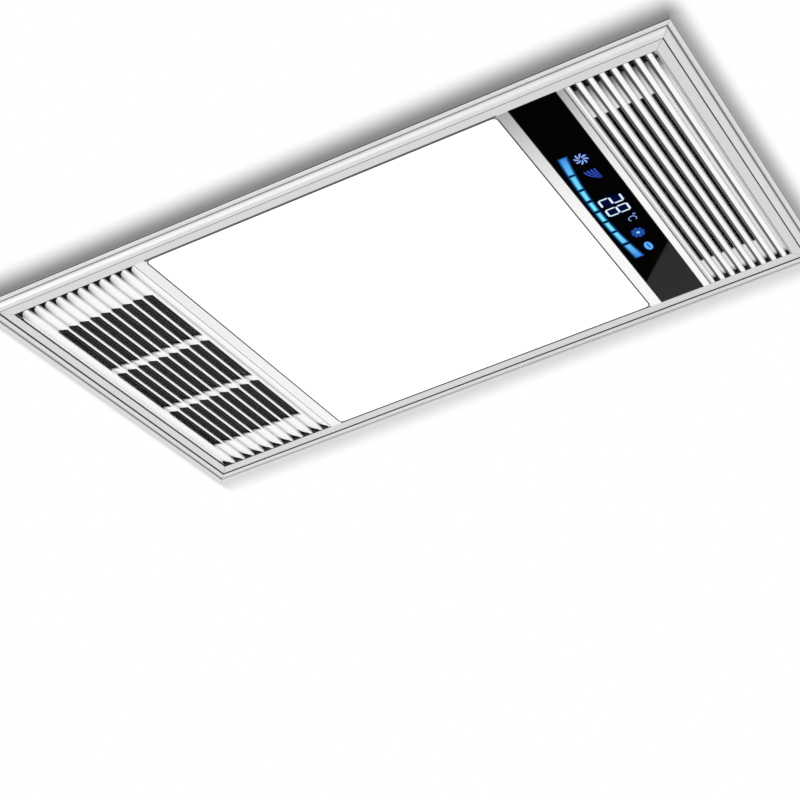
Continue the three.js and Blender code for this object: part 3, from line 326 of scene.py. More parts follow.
    def rounded_along(self, axis: int, radius: float, steps: int) -> "Workpiece":
        """Rounds the corners that run along an axis, each in some steps."""
        with self.editing():
            self.pick_along(axis)
            bpy.ops.mesh.bevel(offset=radius * MM, segments=steps, affect="EDGES")
        return self

    def modified(self, kind: str, **settings: object) -> "Workpiece":
        """Adds a modifier with its settings and applies it."""
        self.activate()
        modifier = self.obj.modifiers.new(kind.title(), kind)
        for key, value in settings.items():
            setattr(modifier, key, value)
        bpy.ops.object.modifier_apply(modifier=modifier.name)
        return self

    def rounded(self, width: float, steps: int = 2, angle: float = CREASE_ANGLE) -> "Workpiece":
        """Rounds the corners.

        Args:
            width: how far the rounding reaches from each corner.
            steps: how many faces it has.
            angle: degrees above which an edge is rounded.

        Returns:
            This piece.
        """
        self.modified("BEVEL", width=width * MM, segments=steps, limit_method="ANGLE",
                      angle_limit=math.radians(angle), use_clamp_overlap=False)
        return self.smooth()

    def smooth(self, angle: float = SMOOTH_ANGLE) -> "Workpiece":
        """Shades the piece smooth, with its large faces kept flat."""
        self.activate()
        bpy.ops.object.shade_smooth_by_angle(angle=math.radians(angle))
        return self.modified("WEIGHTED_NORMAL", keep_sharp=True)

    def cut(self, tool: "Workpiece") -> "Workpiece":
        """Takes another closed piece out of this one, and uses it up."""
        self.modified("BOOLEAN", operation="DIFFERENCE", solver="EXACT", object=tool.obj)
        bpy.data.objects.remove(tool.obj)
        return self

    def with_pieces(self, others: Iterable["Workpiece"]) -> "Workpiece":
        """Joins other pieces to this one."""
        self.activate()
        for other in others:
            other.obj.select_set(True)
        bpy.ops.object.join()
        return self

    def at_places(self, places: Iterable[Matrix]) -> "Workpiece":
        """Copies of this piece at each place, joined as one; the piece itself is used up."""
        made = []
        for place in places:
            made.append(Workpiece(in_scene(self.obj.name, self.obj.data.copy())))
            made[-1].obj.data.transform(place)
        name = self.obj.name
        bpy.data.objects.remove(self.obj)
        return self.joined(made).named(name)

    def standing_on(self, spots: Spots) -> "Workpiece":
        """Copies of this piece, which stands on the origin, on spots given as point and direction."""
        return self.at_places(Matrix.Translation(Vector(at) * MM) @ lay_along(Vector(way)) for at, way in spots)

    def round_about(self, centre: Place, count: int) -> "Workpiece":
        """Copies of this piece, evenly turned about an upright axis through a point."""
        there, back = Matrix.Translation(Vector(centre) * MM), Matrix.Translation(-Vector(centre) * MM)
        return self.at_places(there @ Matrix.Rotation(2 * math.pi * i / count, 4, "Z") @ back for i in range(count))


# Materials


def operation(kind: str, turned: bool = False) -> Callable[["Value", object], "Value"]:
    """A method that joins a Value and another value or number by one Math node.

    Args:
        kind: the node's operation.
        turned: whether the other one comes first.

    Returns:
        The method.
    """

    def method(value: "Value", other: object) -> "Value":
        """The result of the operation."""
        return value.math(kind, *((other, value) if turned else (value, other)))

    return method


class Value:
    """A number that changes over a surface; arithmetic on it adds Math nodes."""

    def __init__(self, recipe: "Recipe", socket: bpy.types.NodeSocket) -> None:
        self.recipe = recipe
        self.socket = socket

    def math(self, kind: str, *terms: object, clamp: bool = False) -> "Value":
        """The result of one Math node on the given terms."""
        node = self.recipe.node("Math", {"operation": kind, "use_clamp": clamp}, dict(enumerate(terms)))
        return Value(self.recipe, node.outputs[0])

    __add__ = __radd__ = operation("ADD")
    __sub__ = operation("SUBTRACT")
    __rsub__ = operation("SUBTRACT", turned=True)
    __mul__ = __rmul__ = operation("MULTIPLY")
    __truediv__ = operation("DIVIDE")
    __pow__ = operation("POWER")
    at_least = operation("MAXIMUM")
    at_most = operation("MINIMUM")
    above = operation("GREATER_THAN")  # 1 where this value is above the other, else 0
    below = operation("LESS_THAN")  # 1 where it is below, else 0
    within = operation("FLOORED_MODULO")  # what is left of this value after whole periods

    def __abs__(self) -> "Value":
        """This value without its sign."""
        return self.math("ABSOLUTE", self)

    def root(self) -> "Value":
        """The square root."""
        return self.math("SQRT", self)

    def wave(self) -> "Value":
        """The sine."""
        return self.math("SINE", self)

    def held(self) -> "Value":
        """This value kept from 0 to 1."""
        return self.math("ADD", self, 0.0, clamp=True)

    def swing(self, width: float) -> "Value":
        """A noise around 0.5 as a swing of some width around 0."""
        return (self - 0.5) * width

    def peak(self, middle: float, half: float) -> "Value":
        """1 where this value is at a middle, 0 at half a width from it and negative beyond."""
        return 1 - abs(self - middle) / half

    def fade(self) -> "Value":
        """A soft rise from 0 to 1 as this value goes from 0 to 1."""
        kept = self.held()
        return kept * kept * (3 - 2 * kept)


class Recipe:
    """The node tree of a material, or of a world, and the one way in which nodes are added to it."""

    def __init__(self, name: str, world: bool = False) -> None:
        self.owner = (bpy.data.worlds if world else bpy.data.materials).new(name)
        self.owner.use_nodes = True
        self.tree = self.owner.node_tree
        self.tree.nodes.clear()

    def node(self, kind: str, settings: Mapping[str, object] | None = None,
             inputs: Mapping[str | int, object] | None = None) -> bpy.types.Node:
        """Adds a node.

        Args:
            kind: its type without the leading ShaderNode.
            settings: its own settings, set first.
            inputs: value, Value or socket for each named or numbered input.

        Returns:
            The new node.
        """
        made = self.tree.nodes.new("ShaderNode" + kind)
        for key, value in (settings or {}).items():
            setattr(made, key, value)
        for key, value in (inputs or {}).items():
            socket = made.inputs[key]
            if isinstance(value, Value):
                value = value.socket
            if isinstance(value, bpy.types.NodeSocket):
                self.tree.links.new(value, socket)
            elif socket.type == "RGBA":
                socket.default_value = (*value, 1.0)
            else:
                socket.default_value = value
        return made

    def place(self) -> bpy.types.NodeSocket:
        """The object coordinates."""
        return self.node("TexCoord").outputs["Object"]

    def axes(self) -> tuple[Value, Value, Value]:
        """X, Y and Z of the object coordinates, in millimetres."""
        split = self.node("SeparateXYZ", inputs={0: self.place()})
        x, y, z = (Value(self, output) / MM for output in split.outputs)
        return x, y, z

    def stretched(self, stretch: Place) -> bpy.types.NodeSocket:
        """The object coordinates, each multiplied."""
        return self.node("VectorMath", {"operation": "MULTIPLY"}, {0: self.place(), 1: stretch}).outputs[0]

    def noise(self, size: float, detail: float = 2.0, stretch: Place = (1, 1, 1)) -> Value:
        """Soft noise.

        Args:
            size: size of its blotches.
            detail: how many finer layers it has.
            stretch: how much faster it changes along each axis.

        Returns:
            Its value, around 0.5.
        """
        node = self.node("TexNoise", inputs={"Vector": self.stretched(stretch), "Scale": 1 / (size * MM),
                                             "Detail": detail})
        return Value(self, node.outputs[0])

    def cells(self, size: float, feature: str = "F1") -> tuple[Value, Value]:
        """Crystal cells: the distance to each cell's middle, and a random value for each cell."""
        node = self.node("TexVoronoi", {"feature": feature},
                         {"Vector": self.place(), "Scale": 1 / (size * MM)})
        split = self.node("SeparateColor", inputs={0: node.outputs["Color"]})
        return Value(self, node.outputs["Distance"]), Value(self, split.outputs[0])

    def rays(self, *kinds: str) -> Value:
        """1 for rays of any of these kinds, else 0."""
        path = self.node("LightPath")
        return reduce(Value.at_least, [Value(self, path.outputs[f"Is {kind} Ray"]) for kind in kinds])

    def mix(self, share: object, first: object, second: object) -> bpy.types.NodeSocket:
        """A colour between two, by a share."""
        return self.node("Mix", {"data_type": "RGBA"}, {0: share, 6: first, 7: second}).outputs[2]

    def relief(self, height: Value, depth: float) -> bpy.types.NodeSocket:
        """The normal of a surface whose height goes from 0 to 1 over a depth."""
        return self.node("Bump", inputs={"Height": height, "Distance": depth * MM}).outputs[0]

    def surface(self, **inputs: object) -> bpy.types.Material:
        """Closes the recipe with a Principled shader whose inputs are named with _ for a blank."""
        shader = self.node("BsdfPrincipled", inputs={key.replace("_", " "): value for key, value in inputs.items()})
        return self.closed(shader)

    def closed(self, shader: bpy.types.Node) -> bpy.types.Material:
        """Puts a shader on the material's output."""
        self.node("OutputMaterial", inputs={0: shader.outputs[0]})
        return self.owner


@dataclass(frozen=True)
class SatinSilver:
    """Satin anodised aluminium of a rail, with the fine lines that drawing leaves along it.

    Its upright walls and the foot of its groove are darkened with painted shade.
    """

    along: int  # the axis that it was drawn along
    outer: float  # the frame's outer edge, from the middle
    inner: float  # and the rail's inner edge
    groove: float  # the groove's middle, from the outer edge
    groove_half: float
    groove_shade: Pair  # painted shade in the groove of the rail on the low side, and of its opposite
    wall: float = 0.1
    nose: float = 0.35  # how far the painted shade reaches from the inner wall
    # the colour of the painted shade on the walls and in the groove
    painted_shade: Colour = (0.1, 0.1, 0.1)
    light: Colour = (0.8, 0.805, 0.81)
    dark: Colour = (0.68, 0.685, 0.695)
    metallic: float = 0.72
    roughness: float = 0.34
    line_size: float = 0.35
    line_depth: float = 0.006
    drawn_out: float = 0.02
    cloud_size: float = 30.0

    def material(self, name: str) -> bpy.types.Material:
        """The finish as a material."""
        recipe = Recipe(name)
        stretch = [self.drawn_out if i == self.along else 1.0 for i in range(3)]
        lines = recipe.noise(self.line_size, 3, stretch)
        share = (lines.swing(1.6) + recipe.noise(self.cloud_size, 2).swing(0.5) + 0.3).held()
        across = recipe.axes()[1 - self.along]
        inward = self.outer - abs(across)
        # painted shade: the groove darker on one side than the other, and the upright walls dark
        low, high = self.groove_shade
        groove = inward.peak(self.groove, self.groove_half).fade() * (across.above(0) * (high - low) + low)
        walls = inward.above(self.outer - self.inner - self.nose).at_least(inward.below(self.wall))
        clean = recipe.mix(share, self.light, self.dark)
        return recipe.surface(Base_Color=recipe.mix(walls.at_least(groove), clean, self.painted_shade),
                              Metallic=self.metallic * (1 - walls), Roughness=self.roughness + lines.swing(0.22),
                              Normal=recipe.relief(lines, self.line_depth))


@dataclass(frozen=True)
class Enamel:
    """Satin enamel baked on pressed steel: a faint orange peel and slightly uneven gloss."""

    light: Colour = (0.92, 0.92, 0.915)
    shade: Colour = (0.885, 0.885, 0.88)
    shade_from: float = 0.35
    contrast: float = 1.4
    roughness: float = 0.4
    peel_size: float = 1.3
    peel_depth: float = 0.012
    cloud_size: float = 45.0

    def material(self, name: str) -> bpy.types.Material:
        """The finish as a material."""
        recipe = Recipe(name)
        peel = recipe.noise(self.peel_size, 2)
        cloud = recipe.noise(self.cloud_size, 3)
        clean = recipe.mix(((cloud - self.shade_from) * self.contrast).held(), self.light, self.shade)
        return recipe.surface(Base_Color=self.marked_and_shaded(recipe, clean),
                              Roughness=self.roughness + cloud.swing(0.12) + peel.swing(0.06),
                              Normal=recipe.relief(peel, self.peel_depth))

    def marked_and_shaded(self, _: Recipe, clean: bpy.types.NodeSocket) -> bpy.types.NodeSocket:
        """The clean colour with its marks and painted shade, of which plain enamel has none."""
        return clean


@dataclass(frozen=True)
class PaleEnamel(Enamel):
    """The paler enamel of the pieces that face the room."""

    light: Colour = (0.95, 0.95, 0.948)
    shade: Colour = (0.93, 0.93, 0.927)
    contrast: float = 0.8


@dataclass(frozen=True)
class PlateEnamel(PaleEnamel):
    """The face plate's enamel: silver grey on its border, with scribed mitres, paler between the openings, with painted
    shade on the strips towards the near end and painted shadow lines at the light panel's ends and beside the
    extraction grille.
    """

    border: Colour = (0.665, 0.665, 0.67)
    opening: Triple = (-222.0, 221.2, 140.0)  # low X, high X and half the width
    corner: Pair = (228.4, 149.2)
    scribe: Colour = (0.3, 0.3, 0.3)
    scribe_half: float = 0.45
    scribe_dust: float = 0.8
    heater_strip: float = -123.5  # the strip beside the heater opening ends here
    heater_grey: Colour = (0.1, 0.1, 0.1)
    heater_shade: float = 0.16  # painted shade: how much of that grey lies at the near end
    heater_reach: float = 364.0  # it would be gone this far from the near end
    display_side: float = 117.0  # the strips beside the display begin here
    dull: Colour = (0.36, 0.36, 0.36)
    dull_from: float = 10.0  # painted shade: they grow duller from here towards the near end
    dull_reach: float = 150.0
    dull_power: float = 1.7
    shadow_line: Colour = (0.06, 0.06, 0.06)
    shadow_steepness: float = 4.0
    light_x: Pair = (-125.5, 117.9)
    light_y: float = 139.5
    light_overlap: float = 0.6  # how far the painted shadow line reaches in over the panel's edge
    light_line: Pair = (1.5, 0.9)  # width of the painted shadow line along the panel's near and far end
    extraction_edge: float = 161.8
    extraction_half: float = 1 / 1.3  # of the painted shadow line there

    def marked_and_shaded(self, recipe: Recipe, clean: bpy.types.NodeSocket) -> bpy.types.NodeSocket:
        """The clean colour with its border and scribes, and painted shade and shadow lines."""
        x, y, _ = recipe.axes()
        low, high, half = self.opening
        # painted shade: the strips beside the display duller towards the near end
        duller = ((self.dull_from - y) / self.dull_reach).held() ** self.dull_power
        colour = recipe.mix(duller * x.above(self.display_side), clean, self.dull)
        # painted shade: the strip beside the heater opening greyer towards the near end
        greyer = (1 - (y + half) / self.heater_reach).held() * self.heater_shade
        colour = recipe.mix(greyer * x.below(self.heater_strip), colour, self.heater_grey)
        beyond_y = abs(y) - half
        rise = self.corner[1] - half
        scribes = []
        for beyond_x, reach in ((low - x, self.corner[0] + low), (x - high, self.corner[0] - high)):
            away = (beyond_x * rise - beyond_y * reach) / math.hypot(rise, reach)
            scribes.append(away.peak(0, self.scribe_half).held() * beyond_x.above(0))
        edge = beyond_y.above(0).at_least(x.below(low)).at_least(x.above(high))
        colour = recipe.mix(edge, colour, self.border)
        # painted shadow lines along the light panel's ends and beside the extraction grille
        near, far = (((self.light_y + width - inward) * self.shadow_steepness).held() * inward.above(0)
                     for width, inward in zip(self.light_line, (0 - y, y)))
        shadow = x.above(self.light_x[0]) * x.below(self.light_x[1]) * (near + far) * abs(y).above(
            self.light_y - self.light_overlap)
        beside = x.peak(self.extraction_edge, self.extraction_half).held() * abs(y).below(half)
        colour = recipe.mix(shadow.at_least(beside), colour, self.shadow_line)
        return recipe.mix(reduce(Value.at_least, scribes) * self.scribe_dust, colour, self.scribe)


@dataclass(frozen=True)
class GrilleEnamel(PaleEnamel):
    """A grille's enamel with painted shade where it lies deep, along its folds and towards its ends."""

    face: float = -1.8
    deep: float = 2.4  # how deep the folds go
    folds: float = 0.3  # how dark the painted shade along them is
    fold_power: float = 5.0
    near: Triple = (1.9, 22.0, 1.8)  # how much darker the painted shade is at the near end, how far in, how steeply
    far: Triple = (1.2, 11.0, 1.8)
    end_power: float = 2.2
    half: float = 140.0
    # the colour of the painted shade
    painted_shade: Colour = (0.015, 0.015, 0.015)
    streak: Quad | None = None  # first valley, pitch, place and half width of a painted shade line
    streak_shade: float = 0.75
    streak_from: float = 0.5  # it lies only deeper than this share
    edges: tuple[Triple, ...] = ()  # edges with painted shade: middle, half width and how dark
    edge_steepness: float = 2.5

    def marked_and_shaded(self, recipe: Recipe, clean: bpy.types.NodeSocket) -> bpy.types.NodeSocket:
        """The clean colour with painted shade."""
        x, y, z = recipe.axes()
        depth = ((z - self.face) / self.deep).held()
        near, far = ((1 - inward / reach).held() ** power * painted_shade for inward, (painted_shade, reach, power) in
                     ((y + self.half, self.near), (self.half - y, self.far)))
        # painted shade: darker where the enamel lies deep, along the folds and towards both ends
        shade_share = depth ** self.fold_power * self.folds + depth ** self.end_power * (near + far)
        if self.streak:
            first, pitch, middle, half = self.streak
            line = (x - first).within(pitch).peak(middle, half).fade()
            shade_share = shade_share + line * depth.above(self.streak_from) * self.streak_shade
        for middle, half, dark in self.edges:
            shade_share = shade_share.at_least((x.peak(middle, half) * self.edge_steepness).held() * dark)
        return recipe.mix(shade_share.held(), clean, self.painted_shade)


@dataclass(frozen=True)
class LitOpal:
    """Opal acrylic lit from behind, a little less bright towards its edges."""

    half_length: float
    half_width: float
    centre: float
    lit_below: float = -1.2
    lit_rise: float = 0.3
    edge: float = 16.0
    colour: Colour = (0.93, 0.93, 0.93)
    glow: float = 0.42
    edge_loss: float = 0.16
    roughness: float = 0.3
    grain_size: float = 0.45
    grain_depth: float = 0.004

    def material(self, name: str) -> bpy.types.Material:
        """The finish as a material."""
        recipe = Recipe(name)
        x, y, z = recipe.axes()
        inset = (self.half_length - abs(x - self.centre)).at_most(self.half_width - abs(y))
        lit = (1 - (1 - inset / self.edge).fade() * self.edge_loss) * ((self.lit_below - z) / self.lit_rise).held()
        grain = recipe.noise(self.grain_size, 1)
        return recipe.surface(Base_Color=self.colour, Roughness=self.roughness + grain.swing(0.1),
                              Emission_Color=recipe.mix(lit, NO_LIGHT, FULL_LIGHT),
                              Emission_Strength=self.glow, Normal=recipe.relief(grain, self.grain_depth))


@dataclass(frozen=True, kw_only=True)
class BlackGlass:
    """Polished glass with a black back print, and the faintest wiping marks."""

    black: Colour = (0.001, 0.001, 0.0012)
    refraction: float = 1.45
    shine: float = 0.28  # how much it mirrors, which the photograph shows to be little
    roughness: float = 0.02
    wiping_size: float = 26.0
    wiping: float = 0.05

    def material(self, name: str) -> bpy.types.Material:
        """The finish as a material."""
        recipe = Recipe(name)
        marks = (recipe.noise(self.wiping_size, 3, (1, 0.3, 1)) - 0.5).at_least(0) * self.wiping
        return self.glass(recipe, Roughness=self.roughness + marks)

    def glass(self, recipe: Recipe, **inputs: object) -> bpy.types.Material:
        """Closes a recipe as black glass, with some inputs of its own."""
        return recipe.surface(Base_Color=self.black, IOR=self.refraction, Specular_IOR_Level=self.shine, **inputs)


@dataclass(frozen=True, kw_only=True)
class LitGlass(BlackGlass):
    """Black glass where light shows through from behind."""

    roughness: float = 0.03
    brightness: float = 1.0

    def material(self, name: str) -> bpy.types.Material:
        """The finish as a material."""
        recipe = Recipe(name)
        return self.glass(recipe, Roughness=self.roughness, Emission_Color=self.light(recipe),
                          Emission_Strength=self.brightness)

    def light(self, recipe: Recipe) -> bpy.types.NodeSocket:
        """The colour of the light at each place."""
        raise NotImplementedError


@dataclass(frozen=True)
class Figure(LitGlass):
    """A figure of the display, whose colour can shift from the display's middle to its ends."""

    middle: Colour
    ends: Colour | None = None
    reach: float = 72.0
    power: float = 2.2
    spot_size: float = 3.0
    spots: float = 0.25

    def light(self, recipe: Recipe) -> bpy.types.NodeSocket:
        """The colour of the light at each place."""
        _, y, _ = recipe.axes()
        share = (abs(y) / self.reach) ** self.power + recipe.noise(self.spot_size, 1).swing(self.spots)
        return recipe.mix(share.held(), self.middle, self.ends or self.middle)


@dataclass(frozen=True)
class GlowingBars(LitGlass):
    """The arc of bars: each bright in its middle and deep blue at its edges, bluer towards the arc's ends."""

    ends: tuple[Pair, ...]
    left: Pair
    right: Pair
    reach: float
    bright: Colour = (0.2, 0.84, 1.0)
    bluer: Colour = (0.05, 0.22, 0.8)
    bluer_power: float = 2.4
    edge: Colour = (0.005, 0.07, 0.26)
    fade: float = 1.35
    glow: float = 0.8  # how far the glow reaches past a bar's edges

    def light(self, recipe: Recipe) -> bpy.types.NodeSocket:
        """The colour of the light at each place."""
        x, y, _ = recipe.axes()
        bulge = (y / self.reach) * (y / self.reach)
        inside = (x - self.left[0] - bulge * self.left[1]).at_most(self.right[0] + bulge * self.right[1] - x)
        along = reduce(Value.at_least, [(high - low) / 2 - abs(y - (low + high) / 2) for low, high in self.ends])
        inset = inside.at_most(along)
        glow = recipe.mix((1 + inset / self.glow).fade(), NO_LIGHT, self.edge)
        share = ((abs(y) / self.reach) ** self.bluer_power).held()
        return recipe.mix((inset / self.fade).fade(), glow, recipe.mix(share, self.bright, self.bluer))


@dataclass(frozen=True)
class Halo(LitGlass):
    """The faint glow round figures: soft ovals given as middle X and Y and half sizes along X and Y."""

    ovals: tuple[Quad, ...]
    colour: Colour = (0.0, 0.003, 0.045)

    def light(self, recipe: Recipe) -> bpy.types.NodeSocket:
        """The colour of the light at each place."""
        x, y, _ = recipe.axes()
        spots = []
        for middle_x, middle_y, half_x, half_y in self.ovals:
            across, along = (x - middle_x) / half_x, (y - middle_y) / half_y
            spots.append((1 - across * across - along * along).held())
        return recipe.mix(reduce(Value.at_least, spots), NO_LIGHT, self.colour)


@dataclass(frozen=True)
class Galvanised:
    """Hot-dip zinc on sheet steel: crystals that take the light differently, and dull rolled streaks."""

    light: Colour = (0.74, 0.755, 0.765)
    dark: Colour = (0.53, 0.55, 0.565)
    crystal_size: float = 9.0
    feather_size: float = 1.1
    cloud_size: float = 60.0
    metallic: float = 0.82
    roughness: float = 0.36
    depth: float = 0.01

    def material(self, name: str) -> bpy.types.Material:
        """The finish as a material."""
        recipe = Recipe(name)
        distance, tone = recipe.cells(self.crystal_size)
        feather = recipe.noise(self.feather_size, 3, (1, 1, 0.35))
        dull = recipe.noise(self.cloud_size, 3)
        share = (tone * 0.62 + feather.swing(0.5) + dull.swing(0.6) + 0.1).held()
        return recipe.surface(Base_Color=recipe.mix(share, self.light, self.dark), Metallic=self.metallic,
                              Roughness=self.roughness + tone.swing(0.16) + dull.swing(0.2),
                              Normal=recipe.relief(feather + distance * 0.4, self.depth))


@dataclass(frozen=True)
class BareMetal:
    """Plain metal as it leaves the mill or the plating bath, with fine working lines."""

    light: Colour
    dark: Colour
    roughness: float
    stretch: Triple
    line_size: float = 0.5
    line_depth: float = 0.008
    stain_size: float = 14.0
    metallic: float = 0.92

    def material(self, name: str) -> bpy.types.Material:
        """The finish as a material."""
        recipe = Recipe(name)
        lines = recipe.noise(self.line_size, 3, self.stretch)
        stain = recipe.noise(self.stain_size, 3)
        share = (lines.swing(1.2) + stain.swing(1.1) + 0.45).held()
        return recipe.surface(Base_Color=recipe.mix(share, self.light, self.dark), Metallic=self.metallic,
                              Roughness=self.roughness + stain.swing(0.2) + lines.swing(0.12),
                              Normal=recipe.relief(lines, self.line_depth))


@dataclass(frozen=True)
class GrainedPlastic:
    """Moulded plastic with a fine leather grain, a little paler where it has been rubbed."""

    colour: Colour
    rubbed: Colour
    roughness: float = 0.5
    grain_size: float = 0.7
    grain_depth: float = 0.03
    cloud_size: float = 22.0
    rubbed_from: float = 0.42
    contrast: float = 2.2

    def material(self, name: str) -> bpy.types.Material:
        """The finish as a material."""
        recipe = Recipe(name)
        grain, _ = recipe.cells(self.grain_size, "SMOOTH_F1")
        cloud = recipe.noise(self.cloud_size, 3)
        share = ((cloud - self.rubbed_from) * self.contrast).held()
        return recipe.surface(Base_Color=recipe.mix(share, self.colour, self.rubbed),
                              Roughness=self.roughness + cloud.swing(0.16) - grain * 0.1,
                              Normal=recipe.relief(grain, self.grain_depth))


@dataclass(frozen=True)
class SolderMask:
    """Green solder mask over copper: tracks show as paler lines, and pads as tinned dots."""

    mask: Colour = (0.012, 0.105, 0.045)
    track: Colour = (0.03, 0.2, 0.085)
    tin: Colour = (0.72, 0.72, 0.7)
    pitch: float = 2.6
    bend_size: float = 30.0
    bend: float = 14.0
    pad_pitch: float = 5.2
    pad_radius: float = 0.16  # as a share of their pitch
    padless: float = 0.45  # share of the places without a pad
    roughness: float = 0.34
    depth: float = 0.03

    def material(self, name: str) -> bpy.types.Material:
        """The finish as a material."""
        recipe = Recipe(name)
        x, y, z = recipe.axes()
        turn = 2 * math.pi / self.pitch
        lines = (((x + z + recipe.noise(self.bend_size, 0) * self.bend) * turn).wave() * 4 + 0.5).held()
        tracks = lines * ((y * (turn / 4)).wave() * 6).held()
        distance, tone = recipe.cells(self.pad_pitch)
        pad = distance.below(self.pad_radius) * tone.above(self.padless)
        return recipe.surface(Base_Color=recipe.mix(pad, recipe.mix(tracks, self.mask, self.track), self.tin),
                              Metallic=pad * 0.9, Roughness=self.roughness + lines * 0.08,
                              Normal=recipe.relief(tracks + pad, self.depth))


class PaintShop:
    """The finishes, each made once."""

    def __init__(self) -> None:
        """Makes a material for each slot, and for each piece that differs from its slot."""
        panel, strip, grille = LightPanel, DisplayStrip, ExhaustGrille
        finishes = {
            Slot.TRIM: SatinSilver(along=0, outer=162.2, inner=149.2, groove=4.5, groove_half=1.6,
                                   groove_shade=(0.92, 0.45)),
            Slot.ENAMEL: Enamel(),
            Slot.ZINC: Galvanised(),
            Slot.STEEL: BareMetal((0.66, 0.67, 0.68), (0.44, 0.45, 0.46), 0.28, (1, 1, 0.1)),
            Slot.ALUMINIUM: BareMetal((0.82, 0.825, 0.83), (0.64, 0.65, 0.66), 0.32, (1, 0.05, 1)),
            Slot.BLACK: GrainedPlastic((0.022, 0.022, 0.024), (0.05, 0.05, 0.052), 0.48),
            Slot.WHITE: GrainedPlastic((0.84, 0.84, 0.815), (0.78, 0.78, 0.75), 0.45, grain_depth=0.015),
            Slot.GREY: GrainedPlastic((0.36, 0.37, 0.38), (0.46, 0.47, 0.475), 0.52),
            Slot.CHARCOAL: GrainedPlastic((0.022, 0.022, 0.023), (0.045, 0.045, 0.045), 0.6, 0.4, 0.02),
            Slot.OPAL: LitOpal(panel.half_length, panel.half_width, panel.centre),
            Slot.GLASS: BlackGlass(),
            Slot.CIRCUIT: SolderMask(),
        }
        self.of_slot = {slot: finish.material(slot.value) for slot, finish in finishes.items()}
        self.trim_across = SatinSilver(along=1, outer=237.5, inner=228.4, groove=3.6, groove_half=1.35,
                                       groove_shade=(0.75, 0.92)).material("trim_aluminium_side_rails")
        self.plate = PlateEnamel().material("face_enamel_plate")
        # black foam for the strips and seals that stand in for the shade in the gaps
        self.shadow_foam = GrainedPlastic((0.012, 0.012, 0.012), (0.02, 0.02, 0.02), 0.9).material("black_shadow_foam")
        # dark grey for the gasket that stands in for the shade round the light panel
        self.shadow_gasket = GrainedPlastic((0.075, 0.075, 0.075), (0.11, 0.11, 0.11), 0.7).material("grey_shadow_gasket")
        self.heater_grille = GrilleEnamel().material("face_enamel_heater_grille")
        self.extraction_grille = GrilleEnamel(
            deep=1.6, folds=0.06, fold_power=1.2, near=(1.35, 48.0, 2.0), end_power=1.2,
            streak=(grille.first_valley, grille.pitch, *grille.streak),
            edges=(*grille.valley_edges(), *grille.outer_edges)).material("face_enamel_extraction")
        self.bars = GlowingBars(strip.bar_ends, strip.arc_left, strip.arc_right, strip.arc_reach,
                                glow=strip.bar_glow).material("display_bars")
        self.halo = Halo(strip.halos).material("display_halo")
        self.digits = Figure((0.72, 0.88, 1.0), (0.5, 0.7, 1.0)).material("display_digits")
        self.pale = Figure((0.26, 0.45, 1.0), (0.3, 0.48, 1.0)).material("display_pale_icons")
        self.blue = Figure((0.035, 0.09, 0.62)).material("display_flow_icon")
        self.cyan = Figure((0.2, 0.66, 1.0)).material("display_bright_dot")
        self.soft_blue = Figure((0.02, 0.085, 0.4)).material("display_petals")
        self.leaf = Figure((0.11, 0.43, 0.93)).material("display_leaf")


# Stage


